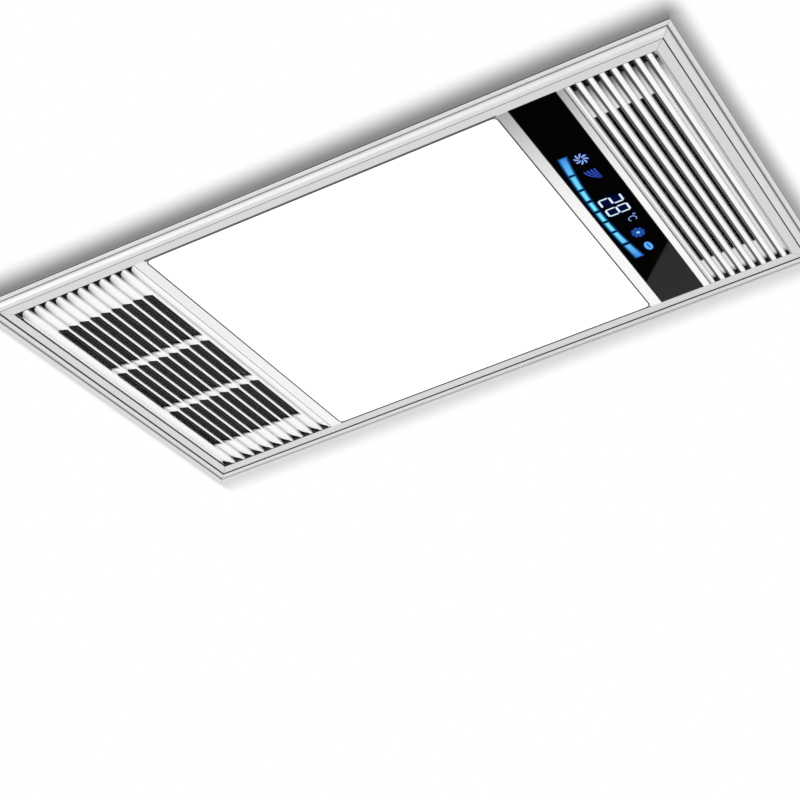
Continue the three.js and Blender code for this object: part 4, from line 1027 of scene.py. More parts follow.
@dataclass
class Studio:
    """Camera, lamps, world and the ceiling that the unit is set in."""

    lens: float = 105.87
    clip: Pair = (0.05, 50.0)  # in metres
    camera_at: Triple = (430.923, -1261.263, -797.186)
    camera_axes: tuple[Triple, Triple, Triple] = (  # to its right, up and back
        (0.892450, 0.418888, -0.167529), (0.336258, -0.370050, 0.866022), (0.300773, -0.829214, -0.471105))
    world_light: float = 0.9
    lamps: tuple[tuple[str, Triple, float, float], ...] = (  # name, place, side and power in watts
        ("room_lamp", (-700, -500, -1500), 1500, 4.6), ("void_lamp", (900, -700, 1700), 1000, 9.0))
    ceiling_half: float = 3000.0
    board: Pair = (0.02, 9.5)  # levels of its lower and upper side
    opening: Pair = (231.0, 152.0)
    frame_half: Pair = (237.5, 162.2)
    paint: Colour = (0.88, 0.88, 0.88)
    paper: tuple[Colour, Colour] = ((0.9, 0.9, 0.9), (0.86, 0.86, 0.86))
    shade_reach: Quad = (5.0, 15.0, 30.0, 28.0)  # left, right, near and far
    shade_depth: Quad = (0.38, 0.64, 0.76, 0.31)
    glass: Quad = (125.7, 156.6, -140.0, 140.0)  # low and high X, low and high Y
    glass_level: float = -1.8
    card_level: float = -600.0
    card_margin: float = 4.0
    streak_light: float = 0.46
    streak_near: Pair = (156.3, 67.0)
    streak_far: Pair = (126.3, 106.0)

    def build(self) -> None:
        """Sets up everything that isn't part of the unit."""
        scene = bpy.context.scene
        scene.view_settings.view_transform = "Standard"
        scene.camera = self._camera()
        scene.world = self._world()
        for name, at, side, power in self.lamps:
            lamp = in_scene(name, bpy.data.lights.new(name, "AREA"))
            lamp.data.size, lamp.data.energy = side * MM, power
            lamp.matrix_world = Matrix.Translation(Vector(at) * MM) @ lay_along(Vector(at))
        self._ceiling()
        self._cards()
        LOG.info("studio ready")

    def _camera(self) -> bpy.types.Object:
        """The camera at the photograph's viewing angle."""
        camera = in_scene("camera", bpy.data.cameras.new("camera"))
        camera.data.lens = self.lens
        camera.data.clip_start, camera.data.clip_end = self.clip
        turn = Matrix(self.camera_axes).transposed().to_4x4()
        camera.matrix_world = Matrix.Translation(Vector(self.camera_at) * MM) @ turn
        return camera

    def _world(self) -> bpy.types.World:
        """A white surround, at full white where it is seen."""
        recipe = Recipe("surround", world=True)
        seen = recipe.rays("Camera", "Transmission")
        strength = recipe.node("Mix", inputs={0: seen, 2: self.world_light, 3: 1.0}).outputs[0]
        light = recipe.node("Background", inputs={"Color": FULL_LIGHT, "Strength": strength})
        recipe.node("OutputWorld", inputs={0: light.outputs[0]})
        return recipe.owner

    def _ceiling(self) -> None:
        """A painted board with the unit's cut-out; its under side carries the unit's soft shade."""
        half, (x, y), (low, high) = self.ceiling_half, self.opening, self.board
        board = Workpiece.block("ceiling_board", (-half, -half, low), (half, half, high))
        board.cut(Workpiece.block("cutout", (-x, -y, -high), (x, y, 2 * high)))
        for paint in (self._shaded_paint(), self._plain_paint()):
            board.obj.data.materials.append(paint)
        for face in board.obj.data.polygons:
            face.material_index = 0 if face.normal.z < -0.5 else 1

    def _shaded_paint(self) -> bpy.types.Material:
        """White with a soft shade beside the frame where it is seen, and plain paint for the light it gives back."""
        recipe = Recipe("ceiling_paint_below")
        x, y, _ = recipe.axes()
        (half_x, half_y), (left, right, near, far) = self.frame_half, self.shade_reach
        across = ((x - half_x) / right).at_least(0) + ((0 - x - half_x) / left).at_least(0)
        along = ((0 - y - half_y) / near).at_least(0) + ((y - half_y) / far).at_least(0)
        left, right, near, far = self.shade_depth
        depth_x = x.above(0) * (right - left) + left
        depth_y = y.above(0) * (far - near) + near
        depth = depth_x + (depth_y - depth_x) * (along / (across + along).at_least(0.001))
        away = (across * across + along * along).root()
        light = recipe.mix(1 - depth * (1 - away.fade()), NO_LIGHT, FULL_LIGHT)
        seen = recipe.node("Emission", inputs={0: light})
        paint = recipe.node("BsdfDiffuse", inputs={0: self.paint})
        looked_at = recipe.rays("Camera", "Glossy", "Transmission")
        return recipe.closed(recipe.node("MixShader", inputs={0: looked_at, 1: paint.outputs[0],
                                                              2: seen.outputs[0]}))

    def _plain_paint(self) -> bpy.types.Material:
        """Pale board for the upper side, which takes the unit's real shadow."""
        recipe = Recipe("ceiling_board_above")
        return recipe.surface(Base_Color=recipe.mix(recipe.noise(4, 3), *self.paper), Roughness=0.9)

    def _cards(self) -> None:
        """A dark card, with a lighter strip, that only mirrors see: what the display glass reflects."""
        x0, x1, y0, y1 = (edge + side * self.card_margin for edge, side in zip(self.glass, (-1, 1, -1, 1)))
        near, far = self.streak_near, self.streak_far
        slope = (far[1] - near[1]) / (far[0] - near[0])
        left, right = ((x, near[1] + (x - near[0]) * slope) for x in (x0, x1))
        self._mirrored("reflection_card", [(x0, y0), (x1, y0), (x1, y1), (x0, y1)], self.card_level, 0.0)
        self._mirrored("reflection_strip", [left, right, (x1, y1), (x0, y1)], self.card_level + 1, self.streak_light)

    def _mirrored(self, name: str, corners: Sequence[Pair], level: float, light: float) -> None:
        """A flat card that the camera sees only mirrored in the glass, over given corners of the glass.

        Args:
            name: its name.
            corners: four corners on the glass, in order.
            level: the card's height.
            light: how bright it is.
        """
        eye = Vector((*self.camera_at[:2], 2 * self.glass_level - self.camera_at[2]))
        deselect_all()
        bpy.ops.mesh.primitive_plane_add(size=1)
        card = Workpiece.taken(name).obj
        order = sorted(range(4), key=lambda i: math.atan2(*reversed(card.data.vertices[i].co[:2])))
        for index, (x, y) in zip(order, corners):
            way = Vector((x, y, self.glass_level)) - eye
            card.data.vertices[index].co = (eye + way * ((level - eye.z) / way.z)) * MM
        recipe = Recipe(name)
        card.data.materials.append(recipe.closed(recipe.node("Emission", inputs={0: (light, light, light)})))
        card.visible_camera = card.visible_diffuse = card.visible_shadow = card.visible_transmission = False


# The unit

RIVET = ((1.0, -0.2), (1.0, 0.12), (0.9, 0.34), (0.62, 0.52), (0.3, 0.58), (0.28, 0.46))  # radii and heights
SCREW = ((1.0, -0.1), (1.0, 0.3), (0.92, 0.48), (0.7, 0.62), (0.35, 0.68))
CROSS = (0.55, 0.11, 0.3)  # half length, half width and foot of a screw's cross recess


def beside(side: int, span: Pair) -> list[float]:
    """A span on one side of the middle, its low end first."""
    return sorted(side * at for at in span)


@dataclass
class SubAssembly:
    """What the sub-assemblies share: the paint shop, and how a finished piece goes to its body."""

    shop: PaintShop

    def hand_over(self, piece: Workpiece, slot: Slot, *nodes: str, finish: bpy.types.Material | None = None,
                  body: str = "casing") -> None:
        """Finishes a piece and lets it ride on its body.

        Args:
            piece: the piece.
            slot: the record's slot it takes its finish from.
            nodes: the CAD nodes it stands for.
            finish: its material, where it isn't the slot's own.
            body: the body it rides on.
        """
        piece.obj.data.materials.clear()
        piece.obj.data.materials.append(finish or self.shop.of_slot[slot])
        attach(piece.obj, body)
        if nodes:
            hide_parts(*nodes)
        LOG.info("%s: %d faces", piece.obj.name, len(piece.obj.data.polygons))

    def dress(self, slot: Slot, edge: float, *nodes: str, body: str = "casing", steps: int = 2,
              finish: bpy.types.Material | None = None, angle: float = SMOOTH_ANGLE) -> None:
        """Takes over CAD nodes as they are, with their corners rounded.

        Args:
            slot: the record's slot of their finish.
            edge: how far the rounding reaches; 0 leaves the corners as they are.
            nodes: the CAD nodes.
            body: the body they ride on.
            steps: how many faces the rounding has.
            finish: their material, where it isn't the slot's own.
            angle: degrees up to which edges that aren't rounded look smooth.
        """
        for node in nodes:
            piece = Workpiece.copy_of(node, node + "_finished", whole=edge > 0)
            piece.rounded(edge, steps) if edge else piece.smooth(angle)
            self.hand_over(piece, slot, node, finish=finish, body=body)

    def shadow_liners(self, name: str, x: Pair, y: Pair, z: Pair) -> None:
        """Black foam strips behind both ends of a grille, put there to stand in for the shade seen through what is open
        there.

        Args:
            name: the piece's name.
            x: where the strips start and end.
            y: how far from the middle they lie, nearer and further face.
            z: their levels.
        """
        made = []
        for side in (-1, 1):
            low, high = beside(side, y)
            made.append(Workpiece.block(name, (x[0], low, z[0]), (x[1], high, z[1])))
        self.hand_over(Workpiece.joined(made), Slot.BLACK, finish=self.shop.shadow_foam)

    def rivets(self, name: str, spots: Spots, radius: float = 2.2) -> None:
        """Domed blind rivets on spots given as point and direction."""
        dome = Workpiece.turned(name, [(r * radius, z * radius) for r, z in RIVET], 14)
        self.hand_over(dome.standing_on(spots).smooth(50), Slot.STEEL)

    def screws(self, name: str, spots: Spots, radius: float = 3.2) -> None:
        """Pan head screws with a cross recess, on spots given as point and direction."""
        head = Workpiece.turned(name, [(r * radius, z * radius) for r, z in SCREW], 20)
        long, wide, foot = (share * radius for share in CROSS)
        for x, y in ((long, wide), (wide, long)):
            head.cut(Workpiece.block("slot", (-x, -y, foot), (x, y, radius)))
        self.hand_over(head.standing_on(spots).smooth(40), Slot.STEEL)


@dataclass
class TrimFrame(SubAssembly):
    """The silver frame: four mitred rails with keys in their corners."""

    edge: float = 0.1

    def build(self) -> None:
        """Makes the rails and keys."""
        self.dress(Slot.TRIM, self.edge, "trim_rail_near", "trim_rail_far")
        self.dress(Slot.TRIM, self.edge, "trim_rail_left", "trim_rail_right", finish=self.shop.trim_across)
        self.dress(Slot.STEEL, 0.3, *(f"corner_key_{i}" for i in range(1, 5)))


@dataclass
class FacePlate(SubAssembly):
    """The enamelled plate with its four openings, its screws, and the dark seals and gasket in the gaps round it, which
    stand in for the shade there.
    """

    edge: float = 0.2
    shadow_seal_top: float = -0.82
    # black seals that stand in for the shade in the gaps round the plate
    shadow_seals: tuple[tuple[str, float, Quad, Quad], ...] = (  # name, level, and outside and inside as low and high corner
        ("trim_shadow_seal", -2.0, (-228.38, -149.18, 228.38, 149.18), (-227.82, -148.62, 227.82, 148.62)),
        ("heater_shadow_seal", -1.74, (-221.98, -139.98, -133.02, 139.98), (-221.55, -139.42, -133.28, 139.42)),
        ("extraction_shadow_seal", -1.74, (162.02, -139.98, 221.18, 139.98), (162.28, -139.72, 220.92, 139.72)))
    shadow_gasket_level: float = -1.76
    shadow_gasket_outer: Triple = (-125.48, 117.88, 139.48)  # low X, high X and half its width
    shadow_gasket_inner: Triple = (-124.52, 116.92, 138.52)
    shadow_gasket_corner: float = 4.0

    def build(self) -> None:
        """Makes the plate, its screws, and the seals and gasket that stand in for the shade in its gaps."""
        self.dress(Slot.ENAMEL, self.edge, "face_frame", finish=self.shop.plate)
        self.dress(Slot.STEEL, 0.15, *(f"face_screw_{i}" for i in range(1, 5)))
        for name, level, outer, inner in self.shadow_seals:
            self.hand_over(Workpiece.ring(name, outer, inner, level, self.shadow_seal_top), Slot.BLACK,
                           finish=self.shop.shadow_foam)
        # the dark grey gasket round the light panel stands in for the shade at the panel's edges
        shadow_gasket, inside = (
            Workpiece.block(name, (x0, -half, z0), (x1, half, z1)).rounded_along(2, corner, 6)
            for name, (x0, x1, half), corner, z0, z1 in (
                ("light_shadow_gasket", self.shadow_gasket_outer, self.shadow_gasket_corner, self.shadow_gasket_level, self.shadow_seal_top),
                ("inside", self.shadow_gasket_inner, self.shadow_gasket_corner - 1, self.shadow_gasket_level - 1, 1.0)))
        self.hand_over(shadow_gasket.cut(inside), Slot.GREY, finish=self.shop.shadow_gasket)


@dataclass
class HeaterGrille(SubAssembly):
    """The punched louvres of the heater outlet with the woven guard behind them."""

    crease: float = 3.0
    liner_x: Pair = (-221.6, -133.4)
    liner_y: Pair = (139.1, 139.38)
    liner_level: Pair = (-0.78, 1.36)
    mesh_x: Pair = (-222.6, -132.4)
    mesh_y: Pair = (-140.6, 140.6)
    mesh_level: float = 1.8
    pitch: float = 2.0
    wire_width: float = 0.62
    wire_depth: float = 0.14
    rise: float = 0.08
    hem: float = 3.0
    hem_over: float = 0.2  # how far it reaches past the wires' ends
    hem_depth: float = 0.34

    def build(self) -> None:
        """Makes the grille and the guard."""
        self.dress(Slot.ENAMEL, 0.0, "heater_grille", finish=self.shop.heater_grille, angle=self.crease)
        self.shadow_liners("heater_shadow_liners", self.liner_x, self.liner_y, self.liner_level)
        spans = (self.mesh_x, self.mesh_y)
        counts = [2 * math.floor((high - low) / self.pitch / 2) for low, high in spans]
        firsts = [(low + high - (count - 1) * self.pitch) / 2 for (low, high), count in zip(spans, counts)]
        sets = []
        for axis in (0, 1):
            pair = [self._wire(axis, spans[axis], counts[axis], firsts[axis], (phase + axis) % 2,
                               firsts[1 - axis] + phase * self.pitch) for phase in (0, 1)]
            step = Vector((axis, 1 - axis, 0)) * (2 * self.pitch * MM)
            sets.append(Workpiece.joined(pair).modified(
                "ARRAY", count=counts[1 - axis] // 2, use_relative_offset=False, use_constant_offset=True,
                constant_offset_displace=step))
        self.hand_over(Workpiece.joined(sets).named("guard_weave").smooth(60), Slot.CHARCOAL, "guard_mesh")
        self.hand_over(self._hem(), Slot.CHARCOAL)

    def _wire(self, axis: int, ends: Pair, count: int, first: float, phase: int, aside: float) -> Workpiece:
        """One flattened wire, bent over and under the wires that it crosses.

        Args:
            axis: 0 along X, 1 along Y.
            ends: where it starts and ends.
            count: how many wires it crosses.
            first: where it crosses the first.
            phase: 0 where it goes over the first, 1 where it goes under.
            aside: its place on the other axis.

        Returns:
            The wire.
        """
        half, thick = self.wire_width / 2, self.wire_depth / 2
        low, high = ([end, aside + side * half, self.mesh_level + side * thick] for end, side in zip(ends, (-1, 1)))
        if axis:
            low[:2], high[:2] = reversed(low[:2]), reversed(high[:2])
        wire = Workpiece.block("guard_wire", low, high).subdivided(axis, count)
        length = (ends[1] - ends[0]) / (count + 1)

        def bend(point: Vector) -> Place:
            """Puts each ring of points on its crossing, above or below the middle."""
            ring = round((point[axis] - ends[0]) / length)
            if 0 < ring <= count:
                point[axis] = first + (ring - 1) * self.pitch
                point.z += self.rise * (1 if (ring + phase) % 2 else -1)
            return point

        return wire.shape(bend)

    def _hem(self) -> Workpiece:
        """The flat hem that holds the wires' ends."""
        (x0, x1), (y0, y1) = self.mesh_x, self.mesh_y
        over, wide, half = self.hem_over, self.hem, self.hem_depth / 2
        hem = Workpiece.ring("guard_hem", (x0 - over, y0 - over, x1 + over, y1 + over),
                             (x0 + wide, y0 + wide, x1 - wide, y1 - wide),
                             self.mesh_level - half, self.mesh_level + half)
        return hem.rounded(0.08, 1)


@dataclass
class ExhaustGrille(SubAssembly):
    """The ridges and slotted valleys of the extraction inlet, on a black foam seal that also stands in for the shade in
    the gaps behind them.
    """

    crease: float = 3.0
    first_valley: float = 165.0
    pitch: float = 7.48
    streak: Pair = (2.9, 0.9)  # the place of a painted shade line in each valley, and its half width
    valley_edge: Triple = (3.9, 1.05, 0.97)  # each valley's edge with painted shade: place, half width and how dark
    # edges beside the outermost ridges with painted shade: middle, half width and how dark
    outer_edges: tuple[Triple, Triple] = ((163.0, 1.0, 0.35), (220.0, 1.2, 0.45))
    liner_x: Pair = (162.4, 220.8)
    liner_y: Pair = (139.4, 139.66)
    liner_level: Pair = (-0.78, 1.36)
    seal_x: Pair = (160.2, 223.0)
    seal_y: float = 141.8
    seal_level: Pair = (1.62, 1.98)
    seal_width: float = 3.2

    @classmethod
    def valley_edges(cls) -> list[Triple]:
        """The edges of the seven valleys with painted shade: middle, half width and how dark."""
        place, *rest = cls.valley_edge
        return [(cls.first_valley + place + cls.pitch * i, *rest) for i in range(7)]

    def build(self) -> None:
        """Makes the grille and its seal, which also stands in for the shade in the gaps."""
        self.dress(Slot.ENAMEL, 0.0, "exhaust_grille", finish=self.shop.extraction_grille, angle=self.crease)
        self.shadow_liners("extraction_shadow_liners", self.liner_x, self.liner_y, self.liner_level)
        (x0, x1), y, w = self.seal_x, self.seal_y, self.seal_width
        # the black seal ring behind the grille also stands in for the shade in the gaps there
        seal = Workpiece.ring("grille_shadow_seal", (x0, -y, x1, y), (x0 + w, w - y, x1 - w, y - w), *self.seal_level)
        self.hand_over(seal.rounded(0.1, 2), Slot.BLACK)


@dataclass
class LightPanel(SubAssembly):
    """The opal panel, its tray, the board of light emitting diodes and their driver."""

    half_length: float = 120.7
    half_width: float = 138.5
    centre: float = -3.8

    def build(self) -> None:
        """Makes the panel and what lights it."""
        self.dress(Slot.OPAL, 0.15, "light_diffuser", steps=3)
        self.dress(Slot.ENAMEL, 0.3, "light_tray")
        self.dress(Slot.WHITE, 0.3, "led_board")
        self.dress(Slot.WHITE, 1.2, "led_driver", steps=3)


@dataclass
class DisplayStrip(SubAssembly):
    """The black glass with its lit figures, on its carrier and board."""

    levels: Pair = (-1.84, -1.79)  # lowest and highest level of a figure
    bar_ends: tuple[Pair, ...] = ((-72.0, -50.4), (-48.6, -31.3), (-29.2, -15.7), (-13.2, -0.9),
                                  (1.6, 14.3), (16.4, 29.6), (31.6, 48.5), (51.2, 71.6))
    bar_cuts: int = 6
    bar_glow: float = 0.8  # how far a bar's piece reaches past its bright edges
    arc_reach: float = 72.0
    arc_left: Pair = (128.2, 2.9)  # at the middle, and how much further right at the ends
    arc_right: Pair = (131.8, 5.0)
    digit_x: Pair = (134.2, 150.0)
    digit_starts: Pair = (-11.3, 1.9)
    digit_width: float = 9.9
    digit_segments: tuple[str, str] = ("abged", "abcdefg")
    stroke: float = 1.4
    stroke_gap: float = 0.9
    halos: tuple[Quad, ...] = (  # middle X and Y, half sizes along X and Y
        (142.1, -6.35, 10.6, 7.4), (142.1, 6.85, 10.6, 7.4), (143.4, -63.5, 6.0, 7.6), (143.4, 42.0, 6.2, 7.6),
        (143.4, 62.6, 4.4, 7.6))
    halo_level: float = -1.82
    halo_step: float = 0.002  # between one halo's face and the next
    icon_x: float = 143.4
    icon_stretch: float = 1.45
    fan_y: float = -63.5
    flow_x: tuple[float, ...] = (139.6, 141.9, 144.2, 146.5)
    flow_ties: tuple[float, ...] = (-46.4, -43.4, -40.4)
    flow_ends: Pair = (-48.6, -35.6)
    flow_half: Pair = (0.38, 0.3)  # half width of a stroke and of a tie
    flow_tip: float = 147.8
    flow_gather: float = 0.8
    letter_at: Pair = (146.3, 23.2)
    letter_rings: Pair = (2.9, 2.25)
    letter_stretch: float = 1.15
    degree_at: Pair = (149.0, 18.3)
    degree_rings: Pair = (1.0, 0.55)
    sun_y: float = 42.0
    leaf_y: float = 62.6

    def build(self) -> None:
        """Makes the glass, the figures and what is behind them."""
        self.dress(Slot.GLASS, 0.2, "display_glass", steps=3)
        self.dress(Slot.BLACK, 0.4, "display_carrier")
        self.dress(Slot.CIRCUIT, 0.2, "display_board")
        shop = self.shop
        for figure, finish in (
                (self._bars(), shop.bars), (self._digits(), shop.digits), (self._halo(), shop.halo),
                (self._rays("display_fan", self.fan_y, (1.1, 4.2), (0.35, 1.3), 1.5), shop.pale),
                (self._flow(), shop.blue), (self._celsius(), shop.pale),
                (self._spot("display_sun", self.sun_y, 1.3, 1.3), shop.cyan),
                (self._rays("display_sun_petals", self.sun_y, (1.7, 4.3), (1.0, 2.3), 0.0), shop.soft_blue),
                (self._leaf(), shop.leaf)):
            self.hand_over(figure, Slot.GLASS, finish=finish)

    def _bar(self, name: str, low: Pair, high: Pair) -> Workpiece:
        """A flat block between two corners of a figure."""
        return Workpiece.block(name, (*low, self.levels[0]), (*high, self.levels[1]))

    def _bars(self) -> Workpiece:
        """The arc of eight bars."""
        return Workpiece.joined([
            self._bar("display_bars", (0, low - self.bar_glow), (1, high + self.bar_glow))
                .subdivided(1, self.bar_cuts).shape(self._on_arc) for low, high in self.bar_ends])

    def _on_arc(self, point: Vector) -> Place:
        """Puts a point of a bar, whose X goes from 0 to 1, between the two arcs."""
        bulge = (point.y / self.arc_reach) ** 2
        left = self.arc_left[0] + self.arc_left[1] * bulge - self.bar_glow
        right = self.arc_right[0] + self.arc_right[1] * bulge + self.bar_glow
        return left + (right - left) * point.x, point.y, point.z

    def _halo(self) -> Workpiece:
        """The soft glow round the digits, the fan and the small figures."""
        return Workpiece.joined([
            Workpiece.turned("display_halo", [(half_x, self.levels[1]), (half_x, self.halo_level + i * self.halo_step)],
                             40, (x, y, 0)).widened(y, half_y / half_x)
            for i, (x, y, half_x, half_y) in enumerate(self.halos)])

    def _digits(self) -> Workpiece:
        """Two seven-segment digits that read along +Y, their tops towards +X."""
        inset = self.stroke / 2
        low, high = self.digit_x
        middle = (low + high) / 2
        made = []
        for start, lit in zip(self.digit_starts, self.digit_segments):
            end = start + self.digit_width
            spans = {
                "a": ((high - inset, start), (high - inset, end)),
                "b": ((middle, end - inset), (high, end - inset)),
                "c": ((low, end - inset), (middle, end - inset)),
                "d": ((low + inset, start), (low + inset, end)),
                "e": ((low, start + inset), (middle, start + inset)),
                "f": ((middle, start + inset), (high, start + inset)),
                "g": ((middle, start), (middle, end)),
            }
            made += [self._segment(*spans[letter]) for letter in lit]
        return Workpiece.joined(made)

    def _segment(self, start: Pair, end: Pair) -> Workpiece:
        """One segment with pointed ends, between two points."""
        along_y = start[0] == end[0]
        half = self.stroke / 2
        piece = Workpiece.rod("display_digits", self.stroke / math.sqrt(3), (0, 0, self.levels[0]),
                              (0, 0, self.levels[1]), 6)
        length = abs(end[1] - start[1] if along_y else end[0] - start[0])
        stretch = length / 2 - half / math.sqrt(3) - self.stroke_gap - half / 2
        centre = ((start[0] + end[0]) / 2, (start[1] + end[1]) / 2)

        def draw(point: Vector) -> Place:
            """Draws the six-sided blank out along its pointed axis and lays it in place."""
            out = point.y + math.copysign(stretch, point.y)
            across, along = (point.x, out) if along_y else (out, point.x)
            return centre[0] + across, centre[1] + along, point.z

        piece.shape(draw)
        with piece.editing():
            piece.turn_out()
        return piece

    def _spot(self, name: str, y: float, radius: float, stretch: float) -> Workpiece:
        """A round or oval spot of the display."""
        low, high = self.levels
        return Workpiece.turned(name, [(radius, high), (radius, low)], 28, (self.icon_x, y, 0)).widened(y, stretch)

    def _rays(self, name: str, y: float, reach: Pair, width: Pair, lean: float) -> Workpiece:
        """A ring of eight rays round a middle, each wider outwards and leaning over.

        Args:
            name: the figure's name.
            y: its middle along the display.
            reach: radii at which a ray starts and ends.
            width: a ray's width at its start and how wide it grows.
            lean: how far a ray's end leans sideways.

        Returns:
            The figure.
        """
        ray = self._bar(name, (self.icon_x + reach[0], y - 0.5), (self.icon_x + reach[1], y + 0.5)).subdivided(0, 3)

        def bent(point: Vector) -> Place:
            """Widens and leans a ray on its way out, with a rounded end."""
            share = (point.x - self.icon_x - reach[0]) / (reach[1] - reach[0])
            wide = width[0] + (width[1] - width[0]) * math.sin(share * math.pi * 0.72)
            return point.x, y + (point.y - y) * wide + lean * share * share, point.z

        return ray.shape(bent).round_about((self.icon_x, y, 0), 8).widened(y, self.icon_stretch)

    def _flow(self) -> Workpiece:
        """The air flow symbol: four strokes that run together, tied by three cross strokes."""
        (low, high), (stroke, tie) = self.flow_ends, self.flow_half
        made = [self._bar("display_flow", (x - stroke, low), (x + stroke, high)).subdivided(1, 8)
                for x in self.flow_x]
        made += [self._bar("display_flow", (self.flow_x[0] - tie, y - tie), (self.flow_x[-1] + tie, y + tie))
                 for y in self.flow_ties]

        def gathered(point: Vector) -> Place:
            """Draws the strokes together towards their tip."""
            share = ((point.y - low) / (high - low)) ** 2
            return point.x + (self.flow_tip - point.x) * share * self.flow_gather, point.y, point.z

        return Workpiece.joined(made).shape(gathered)

    def _celsius(self) -> Workpiece:
        """The degree sign and its C, which open towards +Y."""
        low, high = self.levels
        letter, degree = (
            Workpiece.turned(name, [(outer, high), (outer, low), (inner, low), (inner, high)], sides, (*at, 0),
                             hollow=True)
            for name, (outer, inner), sides, at in (("display_celsius", self.letter_rings, 32, self.letter_at),
                                                    ("degree", self.degree_rings, 20, self.degree_at)))
        x, y = self.letter_at
        letter.cut(Workpiece.block("opening", (x - 1.7, y + 0.4, low - 1), (x + 1.7, y + 4.8, high + 1)))
        return letter.widened(y, self.letter_stretch).with_pieces([degree])

    def _leaf(self) -> Workpiece:
        """The leaf symbol: an oval split by its vein."""
        low, high = self.levels
        vein = Workpiece.block("vein", (self.icon_x - 0.25, self.leaf_y - 3.6, low - 1),
                               (self.icon_x + 0.4, self.leaf_y + 3.4, high + 1))
        return self._spot("display_leaf", self.leaf_y, 2.6, 2.2).cut(vein)


@dataclass
class Housing(SubAssembly):
    """The zinc housing with its corner laps, rivets and hanger angles."""

    wall_x: float = 215.0
    wall_y: float = 136.0
    flange_top: float = 3.0
    roof: float = 180.0
    lap_width: float = 13.0
    lap_sheet: float = 0.8
    lap_over: float = 0.3
    rivet_levels: tuple[float, ...] = (14.0, 52.0, 90.0, 160.0)
    roof_rivets: tuple[float, ...] = (-190.0, -114.0, -38.0, 38.0, 114.0, 190.0)
    roof_rivet_level: float = 172.0
    angle_level: float = 118.0
    angle_leg: float = 22.0
    angle_sheet: float = 2.0
    angle_screws: tuple[float, ...] = (-120.0, -40.0, 40.0, 120.0)
    angle_screw_level: float = 131.0
    slots: Pair = (-75.0, 75.0)
    slot_half: float = 13.0
    slot_radius: float = 3.6

    def build(self) -> None:
        """Makes the housing and what is fixed to it."""
        self.dress(Slot.ZINC, 0.4, "housing")
        self.hand_over(self._laps(), Slot.ZINC)
        inset = self.lap_width / 2
        self.rivets("housing_rivets", [
            *(((sx * (self.wall_x + self.lap_sheet), sy * (self.wall_y - inset), z), (sx, 0, 0))
              for sx in (-1, 1) for sy in (-1, 1) for z in self.rivet_levels),
            *(((x, sy * self.wall_y, self.roof_rivet_level), (0, sy, 0)) for sy in (-1, 1) for x in self.roof_rivets)])
        for side, name in ((-1, "near"), (1, "far")):
            self.hand_over(self._angle(side, name), Slot.ZINC, f"hanger_angle_{name}")
        self.screws("hanger_screws", [((x, side * (self.wall_y + self.angle_sheet), self.angle_screw_level),
                                       (0, side, 0)) for side in (-1, 1) for x in self.angle_screws])

    def _laps(self) -> Workpiece:
        """The folded laps that close the housing's upright corners."""
        made = []
        for side_x in (-1, 1):
            for side_y in (-1, 1):
                x0, x1 = beside(side_x, (self.wall_x, self.wall_x + self.lap_sheet))
                y0, y1 = beside(side_y, (self.wall_y - self.lap_width, self.wall_y + self.lap_over))
                made.append(Workpiece.block("housing_corner_laps", (x0, y0, self.flange_top + self.lap_over),
                                            (x1, y1, self.roof - self.lap_sheet)))
        return Workpiece.joined(made).rounded(0.35, 2)

    def _angle(self, side: int, name: str) -> Workpiece:
        """A hanger angle with two slots in its level leg."""
        angle = Workpiece.copy_of(f"hanger_angle_{name}", f"hanger_angle_{name}_slotted")
        y = side * (self.wall_y + (self.angle_leg + self.angle_sheet) / 2)
        z0, z1 = self.angle_level - 2, self.angle_level + self.angle_sheet + 2
        for x in self.slots:
            tool = Workpiece.rod("slot", self.slot_radius, (x, y, z0), (x, y, z1), 24)
            angle.cut(tool.shape(lambda p: (p.x + (self.slot_half if p.x > x else -self.slot_half), p.y, p.z)))
        return angle.rounded(0.4, 2)


